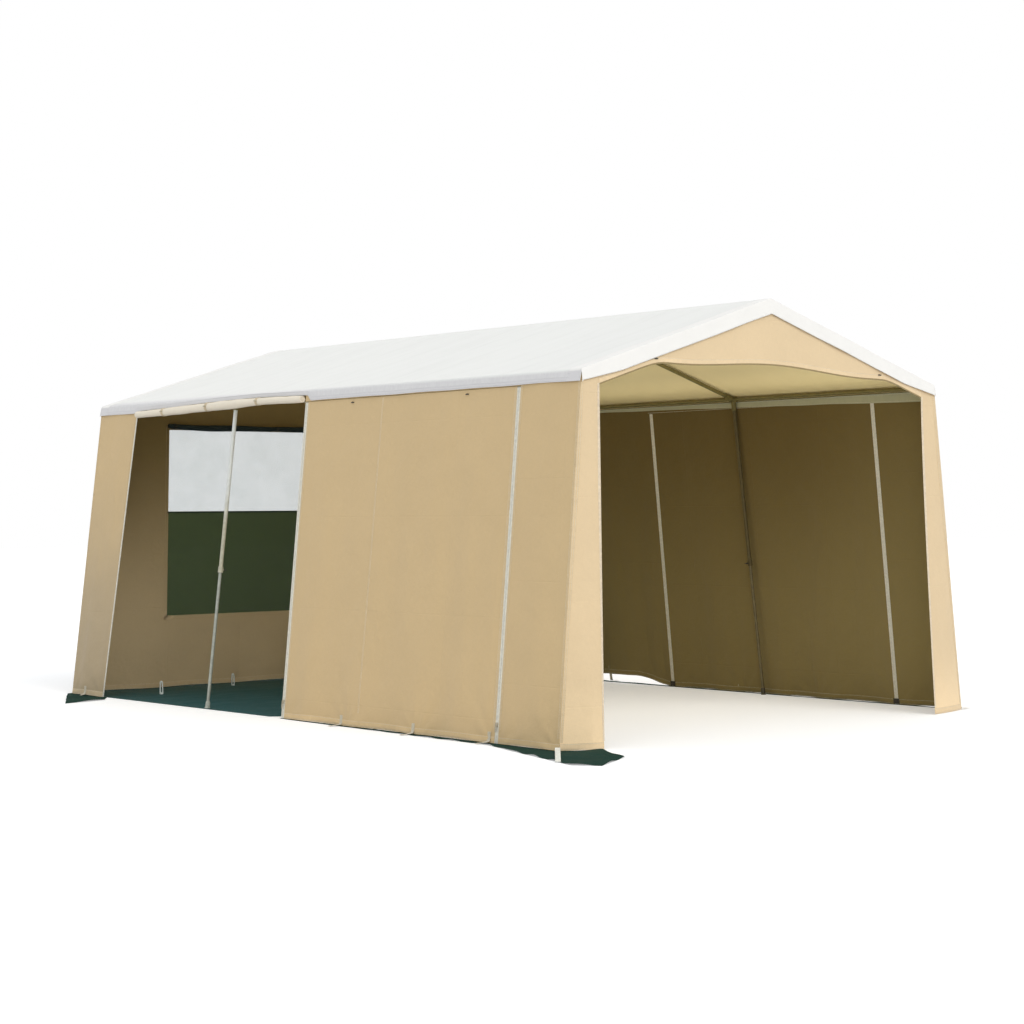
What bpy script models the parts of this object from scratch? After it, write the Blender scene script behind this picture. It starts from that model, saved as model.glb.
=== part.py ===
"""Group tent, 5 m by 3 m: telescopic steel arches under a white coated roof cover, with canvas walls,
zipped side doors and a rear window. Metres. +X is the open front, -Y the side with the open door,
+Z up, and the origin is on the ground in the middle of the plan."""

import math

import bmesh
import bpy
import numpy as np
from mathutils import Matrix, Vector

# Roof and walls, measured on the outer face of the cloth
ROOF_LENGTH = 5.0
EAVE_HALF = 1.459
EAVE_HEIGHT = 2.005
RIDGE_RISE = 0.45
WALL_SPLAY = 0.209
REAR_LEAN = 0.08
FRONT_LEAN = 0.03

# Sheets and clearances
CLOTH = 0.003
GAP = 0.0003
FOLD_DEPTH = 0.014
FOLD_PITCH = 0.5
HEM_LIFT = 0.018
LOOP_PITCH = 0.66

# Roof cover
VALANCE = 0.065
BAND = 0.09
HEM_FLARE = 0.004
ROOF_SAG = 0.025
BAY_STEPS = 5
SLOPE_STEPS = 5

# Frame
ARCH_PITCH = 1.64
ARCH_NAMES = ("rear", "mid_rear", "mid_front", "front")
FOOT_SHIFTS = (-REAR_LEAN, -REAR_LEAN, REAR_LEAN, FRONT_LEAN)
TUBE_R = 0.0125
TUBE_WALL = 0.0015
INNER_TUBE_R = 0.0104
FIT_GAP = 0.0003
FITTING_WALL = 0.0032
SLEEVE_WALL = 0.0045
SLEEVE_HALF = 0.030
SOCKET_START = 0.001
SOCKET_LENGTH = 0.075
SEAT_DEPTH = 0.022
SIDES = 12
SWAGE_OFFSET = 0.12
SWAGE_DEPTH = 0.0008
SWAGE_HALF = 0.004

# Telescopic legs
FOOT_INSET = 0.035
CLAMP_HEIGHT = 0.87
CLAMP_LENGTH = 0.040
CLAMP_WALL = 0.0045
LEG_OVERLAP = 0.16
SCREW_R = 0.005
SCREW_REACH = 0.034
WING_SIZE = (0.030, 0.014, 0.004)
FOOT_R = 0.015
FOOT_HEIGHT = 0.040
BASE_R = 0.019
BASE_HEIGHT = 0.007
BORE_FLOOR = 0.08

# Side walls and doors
WALL_TOP_DROP = 0.030
HINGE_DROP = 0.073
HINGE_CLEARANCE = 0.003
ZIP_HALF = 0.015
COIL_HALF = 0.0035
COIL_HEIGHT = 0.002
ZIP_MIDDLE = (0.0, 0.0)
ZIP_FRONT = (2.0, 2.02)
ZIP_REAR = (-2.0, -2.15)
HEM_CLEARANCE = 0.0006
ZIP_TOP_DROP = 0.005

# Rolled-up rear door, hung under the near eave
ROLL_R = 0.026
ROLL_END_GAP = 0.028
ROLL_DROP = 0.071
ROLL_ARCH = 0.024
ROLL_CREST = 0.72
ROLL_SIDES = 10
ROLL_STEPS = 22
TUCK = 0.05

# Zip sliders
SLIDER_REST = 0.10
SLIDER_HALF = 0.008
SLIDER_LENGTH = 0.024
SLIDER_HEIGHT = 0.009
SLIDER_GAP = 0.0005
PULL_HALF = 0.005
PULL_LENGTH = 0.042
PULL_THICKNESS = 0.002

# Front end
OPENING_INSET = 0.122
GABLE_HEM_RISE = 0.040
GABLE_HEM_WAVE = 0.013
GABLE_HEM_PERIOD = 1.3
GABLE_STRIP = 0.015
STRIP_FOOT_X = 2.62
STRIP_FOOT_SHIFT = {"near": 0.093, "far": -0.037}
STRIP_STRAIGHT_DROP = 0.125
STRIP_BOW = 0.010

# Rear end
WINDOW_HALF = 0.92
WINDOW_SILL = 0.51
WINDOW_SPLIT = 1.26
WINDOW_HEAD_DROP = 0.145
FILM = 0.002
BLIND_R = 0.020
BLIND_WAVE = 0.006
BLIND_OVERHANG = 0.03
BLIND_SIDES = 8
BLIND_STEPS = 16

# Ground
SHEET_FRONT = -0.12
SHEET_INSET = 0.016
SHEET_CUT = 0.05
SHEET_SKEW = 0.55
FLAP_GAP = 0.006
FLAP_REACH = 0.55
FLAP_EDGE = 0.03
FLAP_START = 0.01
FLAP_REAR_SPREAD = ((0.68, 0.43), (0.62, 0.10))
FLAP_FRONT_SPREAD = ((-0.48, 0.077), (0.46, 0.31))
FLAP_TIP = (0.10, 0.15, -0.10)
FLAP_RETURN = (0.13, -0.17)
FLAP_CORNER = 0.2

# Places that follow from the sizes above
HALF_LENGTH = ROOF_LENGTH / 2
RIDGE_HEIGHT = EAVE_HEIGHT + RIDGE_RISE
HINGE_HEIGHT = EAVE_HEIGHT - HINGE_DROP
ROLL_HEIGHT = EAVE_HEIGHT - ROLL_DROP
GABLE_HEM = EAVE_HEIGHT + GABLE_HEM_RISE
STRIP_STRAIGHT = EAVE_HEIGHT - STRIP_STRAIGHT_DROP
WINDOW_HEAD = EAVE_HEIGHT - WINDOW_HEAD_DROP
OPENING_HALF = EAVE_HALF - OPENING_INSET
SHEET_HALF = EAVE_HALF + WALL_SPLAY - SHEET_INSET
FITTING_BORE = TUBE_R + FIT_GAP
FITTING_R = FITTING_BORE + FITTING_WALL
SLEEVE_R = FITTING_BORE + SLEEVE_WALL
CENTRE_DEPTH = CLOTH + GAP + SLEEVE_R
POLE_HALF = HALF_LENGTH - CLOTH - GAP
ROOF_END = HALF_LENGTH + GAP + CLOTH
LEAN_TOP = EAVE_HEIGHT - VALANCE - 0.01
ARCH_X = tuple(ARCH_PITCH * (number - 1.5) for number in range(4))
SIGN = {"near": -1, "far": 1}


def unit(vector):
    """The vector at length 1."""
    vector = np.asarray(vector, float)
    return vector / np.linalg.norm(vector)


def wall_y(z):
    """Half the width between the side walls' outer faces at a height."""
    return EAVE_HALF + WALL_SPLAY * (1 - z / EAVE_HEIGHT)


def roof_z(y):
    """Height of the roof's outer face at a distance from the middle."""
    return RIDGE_HEIGHT - (RIDGE_HEIGHT - EAVE_HEIGHT) * np.abs(y) / EAVE_HALF


def line_x(line, z):
    """X of a line up a wall, from its place at the eave and at the ground."""
    return line[1] + (line[0] - line[1]) * z / EAVE_HEIGHT


def lean(z):
    """0 from the valance up, 1 at the ground."""
    return np.clip(1 - z / LEAN_TOP, 0, None)


def rear_x(z):
    """The rear wall's outer face at a height."""
    return -HALF_LENGTH - REAR_LEAN * lean(z)


def front_x(z):
    """The front corners' outer face at a height."""
    return HALF_LENGTH + FRONT_LEAN * lean(z)


def tucked_corner(roof_depth, wall_depth):
    """(y, z) of the point that lies these depths inside the roof slope and the side wall."""
    slope = unit((RIDGE_HEIGHT - EAVE_HEIGHT, EAVE_HALF))
    wall = unit((EAVE_HEIGHT, WALL_SPLAY))
    eave = np.array((EAVE_HALF, EAVE_HEIGHT))
    return np.linalg.solve((slope, wall), (slope @ eave - roof_depth, wall @ eave - wall_depth))


CORNER_Y, CORNER_Z = tucked_corner(CENTRE_DEPTH, CENTRE_DEPTH)
CREST_Z = CORNER_Z + CORNER_Y * (RIDGE_HEIGHT - EAVE_HEIGHT) / EAVE_HALF
FOOT_Y = wall_y(0) - CLOTH - FOOT_INSET


def material(name, color, roughness, metallic=0.0):
    """A Principled material."""
    made = bpy.data.materials.new(name)
    made.use_nodes = True
    shader = made.node_tree.nodes["Principled BSDF"]
    shader.inputs["Base Color"].default_value = (*color, 1)
    shader.inputs["Roughness"].default_value = roughness
    shader.inputs["Metallic"].default_value = metallic
    return made


def mesh_of(name, points, faces):
    """A mesh of the points that its faces use, with the faces turned outwards."""
    shape = bmesh.new()
    corners = [shape.verts.new(point) for point in points]
    for face in faces:
        shape.faces.new([corners[index] for index in face])
    for corner in corners:
        if not corner.link_faces:
            shape.verts.remove(corner)
    bmesh.ops.recalc_face_normals(shape, faces=shape.faces)
    mesh = bpy.data.meshes.new(name)
    shape.to_mesh(mesh)
    shape.free()
    return mesh


def add(name, mesh, finish, origin=(0, 0, 0), smooth_below=40):
    """An object of a mesh in world places, with its own origin."""
    mesh.name = name
    mesh.transform(Matrix.Translation(Vector(origin)).inverted())
    mesh.materials.clear()
    mesh.materials.append(finish)
    mesh.shade_smooth()
    mesh.set_sharp_from_angle(angle=math.radians(smooth_below))
    made = bpy.data.objects.new(name, mesh)
    made.location = origin
    bpy.context.scene.collection.objects.link(made)
    return made


def combined(mesh, *steps):
    """The mesh after a run of Booleans, each given as ("UNION" or "DIFFERENCE", mesh)."""
    work = bpy.data.objects.new("work", mesh)
    bpy.context.scene.collection.objects.link(work)
    helpers = []
    for operation, other in steps:
        helper = bpy.data.objects.new("helper", other)
        bpy.context.scene.collection.objects.link(helper)
        step = work.modifiers.new(operation, "BOOLEAN")
        step.operation = operation
        step.object = helper
        helpers.append(helper)
    bpy.context.view_layer.update()
    result = bpy.data.meshes.new_from_object(work.evaluated_get(bpy.context.evaluated_depsgraph_get()))
    for helper in (work, *helpers):
        bpy.data.objects.remove(helper)
    return result


def line_frame(direction):
    """A direction as a unit vector, and two more square to it that are the same for the way back."""
    along = unit(direction)
    guide = np.array((0, 1, 0)) if abs(along[0]) > 0.9 else np.array((1, 0, 0))
    across = unit(guide - (guide @ along) * along)
    upward = np.cross(along, across)
    return along, across, -upward if along[2] < 0 else upward


def turned(profile, start, direction, sides=SIDES):
    """A closed profile of (distance, radius) points turned round the line from start along direction.

    Legs and the far slope's tubes start part of a step round, so that joined tubes' facets cross."""
    along, across, upward = line_frame(direction)
    profile = np.asarray(profile, float)
    first = 0.5 if abs(along[2]) > 0.7 else 0.25 if along[1] * along[2] < -0.01 else 0
    angles = 2 * math.pi * (np.arange(sides) + first) / sides
    ring = np.cos(angles)[:, None] * across + np.sin(angles)[:, None] * upward
    points = np.asarray(start, float) + profile[:, 0, None, None] * along
    points = points + profile[:, 1, None, None] * ring[None]
    rings = np.arange(len(profile) * sides).reshape(-1, sides)
    faces = []
    for here, ahead in zip(rings, np.roll(rings, -1, 0)):
        ends = [ring.tolist() for ring in (here, ahead) if profile[ring[0] // sides, 1] > 0]
        if len(ends) == 1:
            faces += ends
        elif ends:
            faces += np.stack((here, ahead, np.roll(ahead, -1), np.roll(here, -1)), -1).tolist()
    return mesh_of("turned", points.reshape(-1, 3), faces)


def rod(radius, start, end, sides=SIDES):
    """A solid round bar between two points."""
    length = np.linalg.norm(np.subtract(end, start))
    profile = ((0, 0), (0, radius), (length, radius), (length, 0))
    return turned(profile, start, np.subtract(end, start), sides)


def prism(outline, low, high, start, across, along, out):
    """An outline of (across, along) points, extruded from low to high along out."""
    flat = [np.add(start, a * np.asarray(across) + b * np.asarray(along)) for a, b in outline]
    points = [point + level * np.asarray(out) for level in (low, high) for point in flat]
    count = len(flat)
    faces = [list(range(count)), list(range(count, 2 * count))]
    faces += [(i, (i + 1) % count, count + (i + 1) % count, count + i) for i in range(count)]
    return mesh_of("prism", points, faces)


def box(size, start, across, along, out):
    """A block centred on start."""
    a, b, c = (value / 2 for value in size)
    return prism(((-a, -b), (a, -b), (a, b), (-a, b)), -c, c, start, across, along, out)


def cloth(name, points, finish, facing, keep=None, origin=(0, 0, 0), thickness=CLOTH):
    """A sheet through a grid of points on its outer face; Solidify gives it its wall on the inner side."""
    points = np.asarray(points, float)
    rows, columns = points.shape[:2]
    corners = np.arange(rows * columns).reshape(rows, columns)
    quads = np.stack((corners[:-1, :-1], corners[:-1, 1:], corners[1:, 1:], corners[1:, :-1]), -1)
    if keep is not None:
        quads = quads[keep]
    quads = quads.reshape(-1, 4)
    flat = points.reshape(-1, 3)
    normal = np.cross(flat[quads[:, 2]] - flat[quads[:, 0]], flat[quads[:, 3]] - flat[quads[:, 1]]).sum(0)
    if normal @ np.asarray(facing, float) < 0:
        quads = quads[:, ::-1]
    used, quads = np.unique(quads, return_inverse=True)
    mesh = bpy.data.meshes.new(name)
    mesh.from_pydata(flat[used].tolist(), [], quads.reshape(-1, 4).tolist())
    made = add(name, mesh, finish, origin)
    thicken(made, thickness)
    return made


def thicken(made, thickness):
    """A wall of this thickness behind the sheet's outer face."""
    wall = made.modifiers.new("wall", "SOLIDIFY")
    wall.thickness = thickness
    wall.offset = -1
    wall.use_even_offset = True


def folds(fraction, height, count):
    """How far soft folds push a hung wall outwards: none along its edges and at its top."""
    wave = 0.5 - 0.5 * np.cos(2 * math.pi * count * fraction)
    return FOLD_DEPTH * np.clip(1 - height / EAVE_HEIGHT, 0, 1) * wave


def hem_z(fraction, loops):
    """Height of a wall's hem, which lifts between its peg loops."""
    lift = 0.5 - 0.5 * np.cos(2 * math.pi * loops * fraction)
    return CLOTH + HEM_CLEARANCE + HEM_LIFT * lift


def side_grid(side, left, right, tops, columns, rows):
    """Points of a side wall's panel between two lines up the wall.

    tops holds the heights of the extra rows at the top; the rows below are spaced from the hem."""
    width = abs(left[0] - right[0])
    fraction = np.linspace(0, 1, columns + 1)
    hem = hem_z(fraction, max(1, round(width / LOOP_PITCH)))
    level = np.linspace(0, 1, rows + 1)[:, None]
    height = hem + (tops[0] - hem) * level
    for top in tops[1:]:
        height = np.vstack((height, np.full((1, columns + 1), top)))
    out = folds(fraction, height, max(1, round(width / FOLD_PITCH)))
    tilt = unit((EAVE_HEIGHT, WALL_SPLAY))
    x = line_x(left, height) + (line_x(right, height) - line_x(left, height)) * fraction
    y = wall_y(height) + out * tilt[0]
    return np.stack((x, SIGN[side] * y, height + out * tilt[1]), -1)


def shifted(line, distance):
    """A line up the wall, moved along X."""
    return (line[0] + distance, line[1] + distance)


def corner_line(end_x):
    """The wall's end as the line that side_grid reads, which leans over its whole height."""
    return (end_x(EAVE_HEIGHT), end_x(0))


def end_columns(grid, end_x, column):
    """Moves one column of a side grid onto the end wall's corner, and the next ones with it."""
    grid[:, column, 0] = end_x(grid[:, column, 2])
    return grid


def arch_corner(side, x):
    """Where a rafter, a leg and the eave pole meet."""
    return np.array((x, SIGN[side] * CORNER_Y, CORNER_Z))


def foot_place(side, number):
    """Where a leg's axis meets what it stands on: the sheet for the rear arches, else the ground."""
    x = ARCH_X[number] + FOOT_SHIFTS[number]
    return np.array((x, SIGN[side] * FOOT_Y, CLOTH + GAP if x < SHEET_FRONT else 0.0))


def leg_clamp(side, number):
    """The lower end of an upper leg, on the leg's axis."""
    top = arch_corner(side, ARCH_X[number])
    foot = foot_place(side, number)
    return top + (foot - top) * (top[2] - CLAMP_HEIGHT) / (top[2] - foot[2])


def rafter(side, number):
    """A roof tube with its eave elbow: a sleeve for the eave pole and a socket for the leg."""
    corner = arch_corner(side, ARCH_X[number])
    crest = np.array((ARCH_X[number], 0, CREST_Z))
    down = unit(foot_place(side, number) - corner)
    up = unit(crest - corner)
    sleeve = np.array((SLEEVE_HALF, 0, 0))
    end = crest - up * SEAT_DEPTH
    shape = combined(
        rod(SLEEVE_R, corner - sleeve, corner + sleeve),
        ("UNION", rod(FITTING_R, corner + down * SOCKET_START, corner + down * SOCKET_LENGTH)),
        ("UNION", rod(FITTING_R, corner + up * SOCKET_START, corner + up * SOCKET_LENGTH)),
        ("UNION", rod(TUBE_R, corner + up * SOCKET_LENGTH / 2, end)),
        ("DIFFERENCE", rod(FITTING_BORE, corner - 2 * sleeve, corner + 2 * sleeve)),
        ("DIFFERENCE", rod(FITTING_BORE, corner + down * SEAT_DEPTH, corner + down * 2 * SOCKET_LENGTH)),
        ("DIFFERENCE", rod(TUBE_R - TUBE_WALL, corner + up * 2 * SEAT_DEPTH, end + up * SEAT_DEPTH)),
    )
    add(f"rafter_{side}_{ARCH_NAMES[number]}", shape, STEEL)


def upper_leg(side, number):
    """The outer leg tube, with its clamp collar and thumb screw."""
    corner = arch_corner(side, ARCH_X[number])
    clamp = leg_clamp(side, number)
    down = unit(clamp - corner)
    start = corner + down * (SEAT_DEPTH + GAP)
    length = np.linalg.norm(clamp - start)
    collar_r = TUBE_R + CLAMP_WALL
    bore = TUBE_R - TUBE_WALL
    profile = (
        (0, bore),
        (0, TUBE_R),
        (length - CLAMP_LENGTH, TUBE_R),
        (length - CLAMP_LENGTH, collar_r),
        (length, collar_r),
        (length, bore),
    )
    middle = clamp - down * CLAMP_LENGTH / 2
    inward = np.array((0, -SIGN[side], 0))
    inward = unit(inward - (inward @ down) * down)
    across = np.cross(inward, down)
    shape = combined(
        turned(profile, start, down),
        ("UNION", rod(SCREW_R, middle + inward * TUBE_R, middle + inward * SCREW_REACH, 8)),
        ("UNION", box(WING_SIZE, middle + inward * SCREW_REACH, across, inward, down)),
    )
    add(f"upper_leg_{side}_{ARCH_NAMES[number]}", shape, STEEL)


def lower_leg(side, number):
    """The inner leg tube, which slides in the upper one, with its moulded foot."""
    corner = arch_corner(side, ARCH_X[number])
    clamp = leg_clamp(side, number)
    foot = foot_place(side, number)
    down = unit(foot - corner)
    start = clamp - down * LEG_OVERLAP
    length = np.linalg.norm(foot - start) - BASE_HEIGHT / 2
    bore = INNER_TUBE_R - TUBE_WALL
    floor = length - BORE_FLOOR
    neck = length - FOOT_HEIGHT
    profile = (
        (0, bore),
        (0, INNER_TUBE_R),
        (neck, INNER_TUBE_R),
        (neck + FOOT_HEIGHT / 8, FOOT_R),
        (length, FOOT_R),
        (length, 0),
        (floor, 0),
        (floor, bore),
    )
    shape = combined(
        turned(profile, start, down),
        ("UNION", rod(BASE_R, foot, foot + np.array((0, 0, BASE_HEIGHT)))),
    )
    add(f"lower_leg_{side}_{ARCH_NAMES[number]}", shape, STEEL_BRIGHT, tuple(clamp))


def ridge_fitting(number):
    """The crest joint of an arch: a sleeve for the ridge pole and a socket for each rafter."""
    crest = np.array((ARCH_X[number], 0, CREST_Z))
    sleeve = np.array((SLEEVE_HALF, 0, 0))
    steps = []
    bores = []
    for side in SIGN:
        down = unit(arch_corner(side, ARCH_X[number]) - crest)
        steps.append(("UNION", rod(FITTING_R, crest + down * SOCKET_START, crest + down * SOCKET_LENGTH)))
        deep = SEAT_DEPTH - GAP
        bores.append(("DIFFERENCE", rod(FITTING_BORE, crest + down * deep, crest + down * 2 * SOCKET_LENGTH)))
    bores.append(("DIFFERENCE", rod(FITTING_BORE, crest - 2 * sleeve, crest + 2 * sleeve)))
    shape = combined(rod(SLEEVE_R, crest - sleeve, crest + sleeve), *steps, *bores)
    add(f"ridge_fitting_{ARCH_NAMES[number]}", shape, STEEL)


def pole(name, y, z):
    """A pole along the tent, its three lengths marked by the pressed ring at each joint."""
    outer = [(0, TUBE_R)]
    for joint in (-(ARCH_PITCH / 2 + SWAGE_OFFSET), ARCH_PITCH / 2 + SWAGE_OFFSET):
        place = POLE_HALF + joint
        outer += [(place - SWAGE_HALF, TUBE_R), (place, TUBE_R - SWAGE_DEPTH), (place + SWAGE_HALF, TUBE_R)]
    bore = TUBE_R - TUBE_WALL
    profile = [*outer, (2 * POLE_HALF, TUBE_R), (2 * POLE_HALF, bore), (0, bore)]
    add(name, turned(profile, (-POLE_HALF, y, z), (1, 0, 0)), STEEL)


def sag(x, y):
    """How far the roof cover hangs below the straight slope: most in the middle of a bay and of a slope."""
    along = np.sin(math.pi * (x - ARCH_X[0]) / ARCH_PITCH) ** 2
    along = np.where(np.abs(x) < ARCH_X[-1], along, 0)
    return ROOF_SAG * along * np.sin(math.pi * np.clip(np.abs(y) / EAVE_HALF, 0, 1))


def roll_centre(x):
    """(y, z) of the rolled door's middle: it hangs outside the legs, tied up highest near its front end."""
    share = (x - ZIP_REAR[0]) / (ZIP_MIDDLE[0] - ZIP_REAR[0])
    rise = np.where(share < ROLL_CREST, share / ROLL_CREST, 1 - (share - ROLL_CREST) / (2 * (1 - ROLL_CREST)))
    z = ROLL_HEIGHT + ROLL_ARCH * np.sin(math.pi / 2 * np.clip(rise, 0, 1))
    leg_y = CORNER_Y + (FOOT_Y - CORNER_Y) * (CORNER_Z - z) / CORNER_Z
    return -(leg_y + FITTING_R * math.cos(math.pi / SIDES) + 2 * GAP + ROLL_R), z


def valance_z(x, side):
    """Height of the eave valance's lower edge, which is tucked up over the rolled door."""
    plain = EAVE_HEIGHT - VALANCE
    if side == "far" or not ZIP_REAR[0] - ZIP_HALF < x < ZIP_MIDDLE[0] + ZIP_HALF:
        return plain
    return max(plain, roll_centre(x)[1] + ROLL_R + 4 * GAP)


def roof_cover():
    """The white cover in one sheet: both slopes, a valance down each side and a band across each gable."""
    eave_y, eave_z = tucked_corner(0, -(GAP + CLOTH))
    slope = eave_y * np.linspace(-1, 1, 2 * SLOPE_STEPS + 1)
    stops = [ZIP_REAR[0] - TUCK, ZIP_REAR[0] - ZIP_HALF / 2, ZIP_MIDDLE[0] + ZIP_HALF / 2, ZIP_MIDDLE[0] + TUCK]
    bays = np.linspace(ARCH_X[0], ARCH_X[-1], 3 * BAY_STEPS + 1).tolist()
    xs = sorted([-ROOF_END, ROOF_END, *stops, *bays])
    points = []
    for x in xs:
        row = []
        for side in SIGN:
            z = valance_z(x, side)
            y = eave_y + (eave_z - z) * WALL_SPLAY / EAVE_HEIGHT + HEM_FLARE * (eave_z - z) / VALANCE
            row.append((x, SIGN[side] * y, z))
        middle = [(x, y, float(roof_z(y)) - float(sag(x, y))) for y in slope]
        points += [row[0], *middle, row[1]]
    across = len(slope) + 2
    faces = []
    for i in range(len(xs) - 1):
        for j in range(across - 1):
            here = i * across + j
            faces.append((here, here + 1, here + across + 1, here + across))
    for end, i in ((-1, 0), (1, len(xs) - 1)):
        start = i * across
        below = [start]
        for y in slope[1:-1]:
            below.append(len(points))
            points.append((end * (ROOF_END + HEM_FLARE), y, float(roof_z(y)) - BAND))
        below.append(start + across - 1)
        for j in range(len(slope) - 1):
            faces.append((start + 1 + j, start + 2 + j, below[j + 1], below[j]))
    mesh = mesh_of("roof_cover", points, faces)
    if mesh.polygons[len(mesh.polygons) // 3].normal.z < 0:
        mesh.flip_normals()
    thicken(add("roof_cover", mesh, ROOF), CLOTH)


def rear_panel():
    """The near wall's rear corner, from the tent's corner to the open door's rear zip."""
    edge = shifted(ZIP_REAR, -(ZIP_HALF + GAP))
    top = EAVE_HEIGHT - WALL_TOP_DROP
    grid = side_grid("near", corner_line(rear_x), edge, (HINGE_HEIGHT, top), 5, 6)
    cloth("near_rear_panel", end_columns(grid, rear_x, 0), CANVAS, (0, -1, 0))


def front_wall(side, name, rear_part):
    """A side wall's fixed cloth: a header over its front door, the front corner, and the rear part if any."""
    top = EAVE_HEIGHT - WALL_TOP_DROP
    low = HINGE_HEIGHT + HINGE_CLEARANCE
    clear = ZIP_HALF + GAP
    corner = side_grid(side, shifted(ZIP_FRONT, clear), corner_line(front_x), (low, top), 5, 7)
    parts = [end_columns(corner, front_x, -1)]
    header = side_grid(side, shifted(ZIP_MIDDLE, -clear), shifted(ZIP_FRONT, clear), (low, top), 8, 7)
    parts.insert(0, header[:, :-1])
    keep = np.ones((corner.shape[0] - 1, 8 + 5), bool)
    keep[:-1, :8] = False
    if rear_part:
        rear = side_grid(side, corner_line(rear_x), shifted(ZIP_MIDDLE, -clear), (low, top), 20, 7)
        parts.insert(0, end_columns(rear, rear_x, 0)[:, :-1])
        keep = np.hstack((np.ones((keep.shape[0], 20), bool), keep))
    cloth(name, np.hstack(parts), CANVAS, (0, SIGN[side], 0), keep)


def hinge_place(side, x):
    """A point on a door's hinge axis: the middle of its top edge."""
    return (x, SIGN[side] * (wall_y(HINGE_HEIGHT) - CLOTH / 2), HINGE_HEIGHT)


def door(side):
    """The zipped front door of a side, which lifts about its top seam as an awning."""
    clear = ZIP_HALF + GAP
    grid = side_grid(side, shifted(ZIP_MIDDLE, clear), shifted(ZIP_FRONT, -clear), (HINGE_HEIGHT,), 24, 7)
    middle = (ZIP_MIDDLE[0] + ZIP_FRONT[0]) / 2
    cloth(f"{side}_door", grid, CANVAS, (0, SIGN[side], 0), origin=hinge_place(side, middle))


def zip_frame(side, line):
    """The foot of a zip, its top, and the directions along it, across it and out of the wall."""
    low = CLOTH + HEM_CLEARANCE
    foot = np.array((line_x(line, low), SIGN[side] * wall_y(low), low))
    top = HINGE_HEIGHT - ZIP_TOP_DROP
    head = np.array((line_x(line, top), SIGN[side] * wall_y(top), top))
    along = unit(head - foot)
    across = unit(np.array((1, 0, 0)) - along[0] * along)
    out = np.cross(along, across)
    return foot, head, along, across, out * np.sign(out[1]) * SIGN[side]


def zip_strip(name, side, line, halves=(-1, 1), origin=(0, 0, 0)):
    """Zip tape with its raised coil; halves names the sides of the tape that are there."""
    foot, head, along, across, out = zip_frame(side, line)
    coil_top = COIL_HALF - COIL_HEIGHT / 2
    right = [(ZIP_HALF, -CLOTH), (ZIP_HALF, 0), (COIL_HALF, 0), (coil_top, COIL_HEIGHT)]
    if len(halves) == 2:
        outline = right + [(-a, b) for a, b in reversed(right)]
    else:
        outline = [(halves[0] * a, b) for a, b in [(0, -CLOTH), *right, (0, COIL_HEIGHT)]]
    shape = prism(outline, 0, np.linalg.norm(head - foot), foot, across, out, along)
    add(name, shape, ZIP, origin)


def slider(name, side, line):
    """A zip slider astride the coil, with its bridge and its drilled pull tab."""
    foot, _, along, across, out = zip_frame(side, line)
    start = foot + along * SLIDER_REST
    channel = COIL_HALF + SLIDER_GAP
    roof = COIL_HEIGHT + SLIDER_GAP
    shoulder = SLIDER_HALF - SLIDER_HEIGHT / 3
    right = [
        (channel, roof),
        (channel, SLIDER_GAP),
        (SLIDER_HALF, SLIDER_GAP),
        (SLIDER_HALF, SLIDER_HEIGHT * 2 / 3),
        (shoulder, SLIDER_HEIGHT),
    ]
    outline = right + [(-a, b) for a, b in reversed(right)]
    body = prism(outline, -SLIDER_LENGTH / 2, SLIDER_LENGTH / 2, start, across, out, along)
    face = start + out * SLIDER_HEIGHT
    tab = [
        (-PULL_HALF * 0.6, 0),
        (PULL_HALF * 0.6, 0),
        (PULL_HALF, -PULL_LENGTH * 0.8),
        (PULL_HALF * 0.5, -PULL_LENGTH),
        (-PULL_HALF * 0.5, -PULL_LENGTH),
        (-PULL_HALF, -PULL_LENGTH * 0.8),
    ]
    bridge = box((PULL_HALF, SLIDER_LENGTH / 2, 4 * PULL_THICKNESS), face, across, along, out)
    eye = face - along * PULL_LENGTH * 0.8
    shape = combined(
        body,
        ("UNION", bridge),
        ("UNION", prism(tab, PULL_THICKNESS / 2, PULL_THICKNESS * 1.5, face, across, along, out)),
        ("DIFFERENCE", rod(PULL_HALF * 0.5, eye - out * PULL_THICKNESS, eye + out * 2 * PULL_THICKNESS, 8)),
    )
    add(name, shape, BRASS, tuple(start))


def rolled_door():
    """The rear side door, rolled up and tied under the near eave."""
    share = np.linspace(0, 1, ROLL_STEPS + 1)
    x = ZIP_REAR[0] + ROLL_END_GAP + share * (ZIP_MIDDLE[0] - ZIP_REAR[0] - 2 * ROLL_END_GAP)
    y, z = roll_centre(x)
    radius = ROLL_R * (0.93 + 0.07 * np.cos(6 * math.pi * (x - ARCH_X[1]) / (x[-1] - x[0])))
    add("near_rolled_door", swept_tube(np.stack((x, y, z), -1), radius, (0, 1, 0), (0, 0, 1), ROLL_SIDES), CANVAS)


def swept_tube(path, radii, across, upward, sides):
    """A round bar along a nearly straight path, of a radius that varies."""
    angles = 2 * math.pi * np.arange(sides) / sides
    ring = np.cos(angles)[:, None] * np.asarray(across, float) + np.sin(angles)[:, None] * np.asarray(upward, float)
    points = (path[:, None] + radii[:, None, None] * ring[None]).reshape(-1, 3)
    count = len(path)
    faces = [list(range(sides)), list(range((count - 1) * sides, count * sides))]
    for i in range(count - 1):
        for j in range(sides):
            turn = (j + 1) % sides
            faces.append((i * sides + j, i * sides + turn, (i + 1) * sides + turn, (i + 1) * sides + j))
    return mesh_of("swept", points, faces)


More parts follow.
